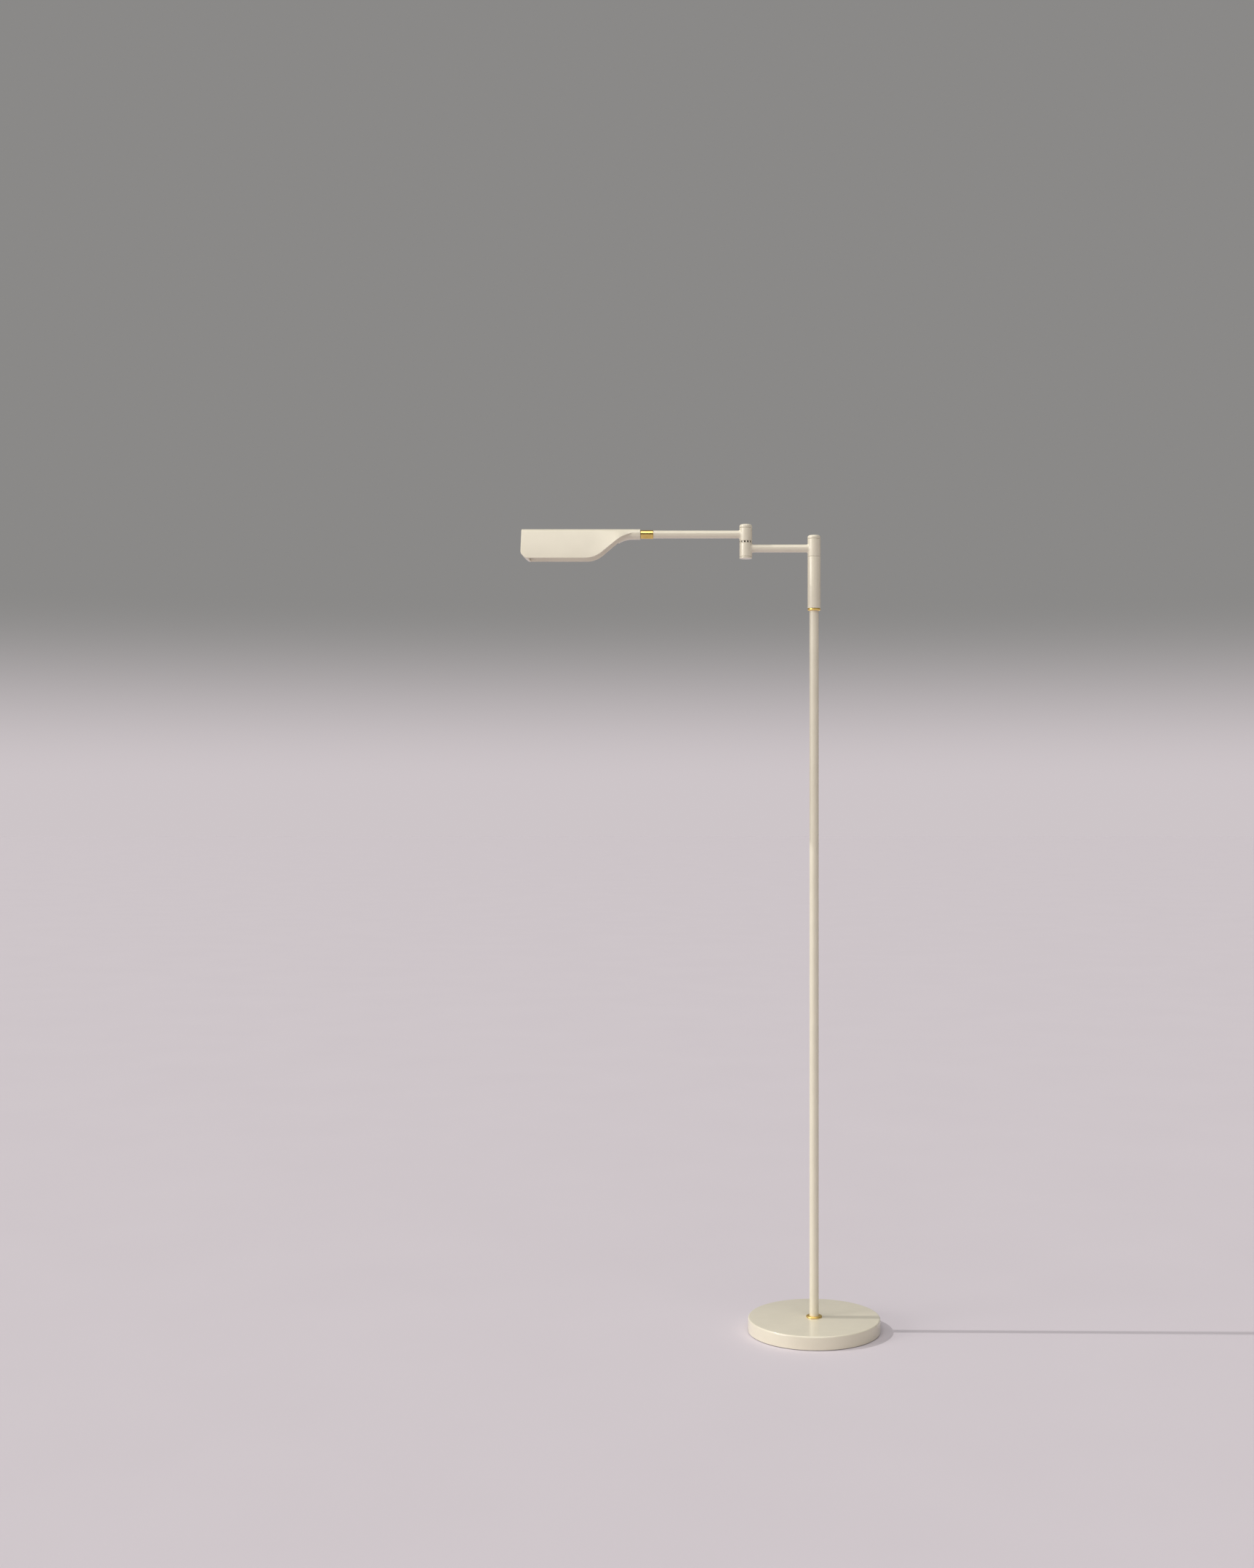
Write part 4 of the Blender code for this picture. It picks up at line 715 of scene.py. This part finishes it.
def edge_height(x):
    """The side wall's lower edge: flat, swept up to the neck, and cut off at the tip."""
    outline = tip_outline()
    for (near_x, near_z), (far_x, far_z) in zip(outline, outline[1:]):
        if x <= far_x:
            return near_z + (far_z - near_z) * (x - near_x) / (far_x - near_x)
    if x <= SWEEP_LOW_X:
        return SHADE_BOTTOM
    low_end_x = SWEEP_LOW_X + SWEEP_LOW_RADIUS * math.sin(SWEEP_SLOPE)
    low_end_z = SHADE_BOTTOM + SWEEP_LOW_RADIUS * (1 - math.cos(SWEEP_SLOPE))
    if x <= low_end_x:
        rise = SWEEP_LOW_RADIUS - math.sqrt(SWEEP_LOW_RADIUS ** 2 - (x - SWEEP_LOW_X) ** 2)
        return SHADE_BOTTOM + rise
    if x <= SWEEP_HIGH_X:
        return low_end_z + (x - low_end_x) * math.tan(SWEEP_SLOPE)
    high_start_z = low_end_z + (SWEEP_HIGH_X - low_end_x) * math.tan(SWEEP_SLOPE)
    centre_x = SWEEP_HIGH_X + SWEEP_HIGH_RADIUS * math.sin(SWEEP_SLOPE)
    centre_z = high_start_z - SWEEP_HIGH_RADIUS * math.cos(SWEEP_SLOPE)
    across = min(0.0, x - centre_x)
    swept = centre_z + math.sqrt(SWEEP_HIGH_RADIUS ** 2 - across ** 2)
    return min(AXIS_Z + NECK_EDGE_RISE, swept)


def wall_angle(edge_y, edge_z, radius):
    """Direction from the ridge's centre to where a straight wall from the edge touches it."""
    across, up = edge_y, edge_z - AXIS_Z
    distance = math.hypot(across, up)
    return math.atan2(up, across) + math.acos(min(1.0, radius / distance))


def wall_slant():
    """How much the parallel side walls come in for each metre they rise."""
    return math.tan(wall_angle(SHADE_HALF_WIDTH, SHADE_BOTTOM, NECK_RADIUS))


def edge_half_width(x, edge_z):
    """Half the shade's width at the edge: round neck, shoulder, then parallel walls."""
    if x < SWEEP_LOW_X:
        return SHADE_HALF_WIDTH - (edge_z - SHADE_BOTTOM) * wall_slant()
    rise = min(edge_z - AXIS_Z, NECK_EDGE_RISE)
    if rise < 0.0:
        rise = NECK_EDGE_RISE
    on_neck = math.sqrt(NECK_RADIUS ** 2 - rise ** 2)
    widen = ease((SHOULDER_START_X - x) / (SHOULDER_START_X - SHOULDER_END_X))
    wing = SHADE_HALF_WIDTH - (edge_z - SHADE_BOTTOM) * WING_TAPER
    return on_neck + (wing - on_neck) * widen


def belly_points(x, angle, reach):
    """The neck's underside from the left wall's inner face, round the bottom, to the right."""
    across = max(0.0, DROOP_START_X - x)
    tall = NECK_RADIUS + DROOP_RADIUS - math.sqrt(DROOP_RADIUS ** 2 - across ** 2)
    if x < LIP_X + LIP_ROUND:
        off = min(LIP_ROUND, LIP_X + LIP_ROUND - x)
        tall -= LIP_ROUND - math.sqrt(LIP_ROUND ** 2 - off ** 2)
    low, high = -math.pi / 2, angle
    for _ in range(HALVINGS):
        middle = (low + high) / 2
        y, up = NECK_RADIUS * math.cos(middle), tall * math.sin(middle)
        if y * math.cos(angle) + up * math.sin(angle) > reach:
            high = middle
        else:
            low = middle
    turns = [math.pi - low + 2 * i / RIDGE_STEPS * (low + math.pi / 2)
             for i in range(RIDGE_STEPS + 1)]
    return [(NECK_RADIUS * math.cos(a), AXIS_Z + tall * math.sin(a)) for a in turns]


def section(x, underside, inset=0.0):
    """One closed section of the shell at x.

    The underside is the neck's round belly, the open chamber's ceiling, or flush with the
    edge where the shell is still solid.
    """
    edge_z = edge_height(x) + inset
    edge_y = edge_half_width(x, edge_z) - inset
    radius = NECK_RADIUS - inset
    distance = math.hypot(edge_y, edge_z - AXIS_Z)
    if distance < radius * ON_NECK:
        edge_y *= radius / distance
        edge_z = AXIS_Z + (edge_z - AXIS_Z) * radius / distance
        distance = radius
    angle = wall_angle(edge_y, edge_z, radius)
    spare = WALL_SHARE * (distance ** 2 - radius ** 2)
    wall = SHADE_WALL
    if spare < 2 * radius * SHADE_WALL - SHADE_WALL ** 2:
        wall = radius - math.sqrt(radius ** 2 - spare)
    out = Vector((math.cos(angle), math.sin(angle)))
    up = Vector((-math.sin(angle), math.cos(angle)))
    edge = Vector((edge_y, edge_z))
    bend = min(RIM_ROUND, wall * RIM_SHARE)
    turns = [math.pi / 2 * i / RIM_STEPS for i in range(RIM_STEPS + 1)]

    ridge = arc_points((0.0, AXIS_Z), radius, angle, math.pi - angle, RIDGE_STEPS)
    outer_corner = [edge + up * (bend - bend * math.sin(a)) - out * (bend - bend * math.cos(a))
                    for a in turns]
    inner_edge = edge - out * wall
    inner_corner = [inner_edge + up * (bend - bend * math.cos(a))
                    + out * (bend - bend * math.sin(a)) for a in turns]
    if underside == "belly":
        below = belly_points(x, angle, radius - wall)
    elif underside == "chamber":
        below = arc_points((0.0, AXIS_Z), radius - wall, math.pi - angle, angle, RIDGE_STEPS)
    else:
        inner_corner = [inner_edge] * len(turns)
        below = [(inner_edge.x * (2 * i / RIDGE_STEPS - 1), inner_edge.y)
                 for i in range(RIDGE_STEPS + 1)]
    right = [tuple(point) for point in inner_corner[::-1] + outer_corner[::-1]]
    left = [(-y, z) for y, z in right[::-1]]
    return [(x, y, z) for y, z in right + ridge + left + below]


def shade_outside():
    """The shell from the neck's end to the tip, still solid between the chin and the tip."""
    rings = [section(NECK_END_X, "belly", NECK_BEVEL),
             section(NECK_END_X - NECK_BEVEL, "belly")]
    for index in range(BELLY_STEPS + 1):
        x = SHOULDER_START_X + (LIP_X + LIP_ROUND - SHOULDER_START_X) * index / BELLY_STEPS
        rings.append(section(x, "belly"))
    for index in range(1, LIP_STEPS + 1):
        turn = math.pi / 2 * index / LIP_STEPS
        rings.append(section(LIP_X + LIP_ROUND * (1 - math.sin(turn)), "belly"))
    open_x = LIP_X - STEP_GAP
    for index in range(SWEEP_STEPS + 1):
        x = open_x + (SWEEP_LOW_X - open_x) * index / SWEEP_STEPS
        rings.append(section(x, "chamber"))
    outline = [x for x, _ in tip_outline()][::-1]
    lip_x = outline[0] + CHIN_LIP
    rings += [section(lip_x + STEP_GAP, "chamber"), section(lip_x, "flush")]
    rings += [section(x, "flush") for x in outline if x > TIP_X + TIP_ROUND]
    for index in range(TIP_STEPS + 1):
        turn = math.pi / 2 * index / TIP_STEPS
        x = TIP_X + TIP_ROUND * (1 - math.sin(turn))
        rings.append(section(x, "flush", TIP_ROUND * (1 - math.cos(turn))))
    return loft(rings)


def tip_hollow():
    """The end of the chamber: its floor follows the chin up to the end wall."""
    slant = wall_angle(SHADE_HALF_WIDTH, SHADE_BOTTOM, NECK_RADIUS)
    ridge_radius = NECK_RADIUS - SHADE_WALL - HOLLOW_CLEAR

    def hollow_section(x, floor_z):
        ridge = arc_points((0.0, AXIS_Z), ridge_radius, slant, math.pi - slant, RIDGE_STEPS)
        start_y, start_z = ridge[0]
        floor_y = start_y + (start_z - floor_z) * math.tan(slant)
        return [(x, y, z) for y, z in [(floor_y, floor_z)] + ridge + [(-floor_y, floor_z)]]

    inner = tip_outline(SHADE_WALL)[::-1]
    rings = [hollow_section(inner[0][0] + CHIN_REACH, inner[0][1])]
    rings += [hollow_section(x, z) for x, z in inner]
    return loft(rings)


def wire_way():
    """Washer recess, nipple hole and neck bore, out through the lip into the chamber.

    Each station is (x, rise from the head's axis, half width, half height) of an oval.
    """
    stations = [
        (NECK_END_X + BORE_RUN_OUT, 0.0, WIRE_RECESS, WIRE_RECESS),
        (NECK_END_X - WASHER_POCKET, 0.0, WIRE_RECESS, WIRE_RECESS),
        (NECK_END_X - WASHER_POCKET, 0.0, NIPPLE_HOLE, NIPPLE_HOLE),
        (NECK_END_X - NECK_FLOOR, 0.0, NIPPLE_HOLE, NIPPLE_HOLE),
        (NECK_END_X - NECK_FLOOR, 0.0, NECK_BORE, NECK_BORE),
        (WIRE_STRAIGHT_END_X, 0.0, NECK_BORE, NECK_BORE),
        (WIRE_BEND_X, WIRE_BEND_DROP, NECK_BORE, WIRE_BEND_TALL),
        (LIP_X - WIRE_PAST_LIP, WIRE_END_DROP, NECK_BORE, WIRE_END_TALL)]
    turns = [2 * math.pi * i / BORE_ROUND for i in range(BORE_ROUND)]
    return loft([[(x, wide * math.cos(turn), AXIS_Z + drop + tall * math.sin(turn))
                  for turn in turns] for x, drop, wide, tall in stations])


def build_head(materials):
    """The shade with its neck in one piece, and the two bosses that carry the lamp tray."""
    paint = materials["cream_paint"]
    shell = to_object("head_shell_fine", shade_outside())
    apply_cuts(shell, [to_object("tip_hollow", tip_hollow()),
                       to_object("wire_way", wire_way())])
    shell.data.set_sharp_from_angle(angle=math.radians(SHARP_ANGLE))
    shell.data.materials.clear()
    shell.data.materials.append(paint)
    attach(shell, "head")
    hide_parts("head_shell")

    boss_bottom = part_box("lamp_tray")[1][2] + CAD_GAP
    boss_top = AXIS_Z + NECK_RADIUS - SHADE_WALL + BOSS_OVERLAP
    for number in (1, 2):
        low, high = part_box(f"tray_screw_{number}")
        centre = ((low[0] + high[0]) / 2, 0.0, boss_bottom)
        post = turned([(0.0, 0.0), (BOSS_RADIUS, 0.0), (BOSS_RADIUS, boss_top - boss_bottom),
                       (0.0, boss_top - boss_bottom)], centre, segments=BORE_ROUND)
        add_piece(f"boss_{number}_fine", post, paint, "head", "cream_paint", "head_shell")


# ---- the CAD pieces that keep their own shape --------------------------------------------
def finish_cad_nodes(materials):
    """Give every CAD node the material of its slot."""
    slots = {part["node"]: part["material_slot"] for part in frame["record"]["subparts"]}
    for name, node in frame["nodes"].items():
        node.data.materials.clear()
        node.data.materials.append(materials[slots[name]])


# ---- stage ------------------------------------------------------------------------------
def add_sun(name, direction, spread, strength, colour):
    """A sun that shines along a direction; spread is its width in the sky in degrees."""
    lamp = bpy.data.lights.new(name, "SUN")
    lamp.angle = math.radians(spread)
    lamp.energy = strength
    lamp.color = colour
    light = bpy.data.objects.new(name, lamp)
    bpy.context.collection.objects.link(light)
    light.rotation_euler = Vector(direction).to_track_quat("-Z", "Y").to_euler()


def build_stage():
    """A pale painted floor, a crisp high sun that draws the shadow, and two soft ones."""
    shape = bmesh.new()
    shape.faces.new([shape.verts.new((FLOOR_HALF * x, FLOOR_HALF * y, 0.0))
                     for x, y in ((-1, -1), (1, -1), (1, 1), (-1, 1))])
    floor = to_object("floor", shape)
    material, shader = new_material("floor_paint", FLOOR_COLOUR, 0.75)
    vary_colour(material, shader, noise(material, 3.0), FLOOR_LOW, FLOOR_HIGH)
    add_bump(material, shader, noise(material, 160.0), 0.0002, 0.3)
    floor.data.materials.append(material)

    build_world()
    add_sun("key_high", (1.0, -0.02, -1.0), 0.6, 1.15, LIGHT_WARM)
    add_sun("left_box", (0.85, 0.42, -0.25), 22, 1.1, LIGHT_WARM)
    add_sun("front_soft", (0.0, 0.55, -0.95), 50, 1.1, LIGHT_NEUTRAL)


def build_world():
    """Behind the lamp a grey wall that rises from a pale glow; on its other sides a room.

    The room is dark low down and to the right. Elsewhere it is bright halfway up and dimmer
    at the very top. It lights the lamp softly and shows in the paint's and brass's gloss.
    """
    world = bpy.data.worlds.new("studio")
    bpy.context.scene.world = world
    world.use_nodes = True
    nodes, links = world.node_tree.nodes, world.node_tree.links
    background = nodes["Background"]
    place = nodes.new("ShaderNodeTexCoord")
    split = nodes.new("ShaderNodeSeparateXYZ")
    links.new(place.outputs["Generated"], split.inputs["Vector"])

    def ramp(stops):
        """Colours by how high a direction points, from level to straight up."""
        node = nodes.new("ShaderNodeValToRGB")
        node.color_ramp.interpolation = "EASE"
        node.color_ramp.elements.remove(node.color_ramp.elements[1])
        node.color_ramp.elements[0].position = stops[0][0]
        node.color_ramp.elements[0].color = (*stops[0][1], 1.0)
        for position, colour in stops[1:]:
            node.color_ramp.elements.new(position).color = (*colour, 1.0)
        links.new(split.outputs["Z"], node.inputs["Fac"])
        return node.outputs["Color"]

    def mask(source, start, end):
        """0 at start and before it, 1 at end and beyond, with a smooth step between."""
        node = nodes.new("ShaderNodeMapRange")
        node.interpolation_type = "SMOOTHSTEP"
        node.inputs["From Min"].default_value = start
        node.inputs["From Max"].default_value = end
        links.new(source, node.inputs["Value"])
        return node.outputs["Result"]

    def blend(factor, first, second):
        node = nodes.new("ShaderNodeMix")
        node.data_type = "RGBA"
        links.new(factor, node.inputs["Factor"])
        links.new(first, node.inputs["A"])
        links.new(second, node.inputs["B"])
        return node.outputs["Result"]

    wall = ramp([(0.0, WALL_GLOW), (0.10, WALL_GREY)])
    bright = ramp([(0.0, ROOM_DARK), (0.40, ROOM_DARK), (0.60, ROOM_BRIGHT),
                   (0.80, ROOM_BRIGHT), (0.95, ROOM_TOP)])
    dark = ramp([(0.0, ROOM_DARK)])
    room = blend(mask(split.outputs["X"], 0.10, 0.80), bright, dark)
    aside = nodes.new("ShaderNodeMath")
    aside.operation = "ABSOLUTE"
    links.new(split.outputs["X"], aside.inputs[0])
    outside = nodes.new("ShaderNodeMath")
    outside.operation = "MAXIMUM"
    links.new(mask(aside.outputs["Value"], 0.45, 0.65), outside.inputs[0])
    links.new(mask(split.outputs["Y"], 0.0, -0.25), outside.inputs[1])
    links.new(blend(outside.outputs["Value"], wall, room), background.inputs["Color"])


def build_camera():
    """The photo's camera: level, and shifted sideways instead of turned."""
    data = bpy.data.cameras.new("photo_camera")
    data.lens = CAMERA_LENS_MM
    data.sensor_width = CAMERA_SENSOR_MM
    data.shift_x = CAMERA_SHIFT_X
    data.dof.use_dof = False
    camera = bpy.data.objects.new("photo_camera", data)
    bpy.context.collection.objects.link(camera)
    camera.location = CAMERA_PLACE
    camera.rotation_euler = (math.pi / 2, 0.0, 0.0)
    bpy.context.scene.camera = camera
    bpy.context.scene.view_settings.view_transform = "Standard"


build_camera()
MATERIALS = make_materials()
finish_cad_nodes(MATERIALS)
build_base(MATERIALS)
build_pole(MATERIALS)
build_lower_arm(MATERIALS)
build_upper_arm(MATERIALS)
build_head(MATERIALS)
build_stage()
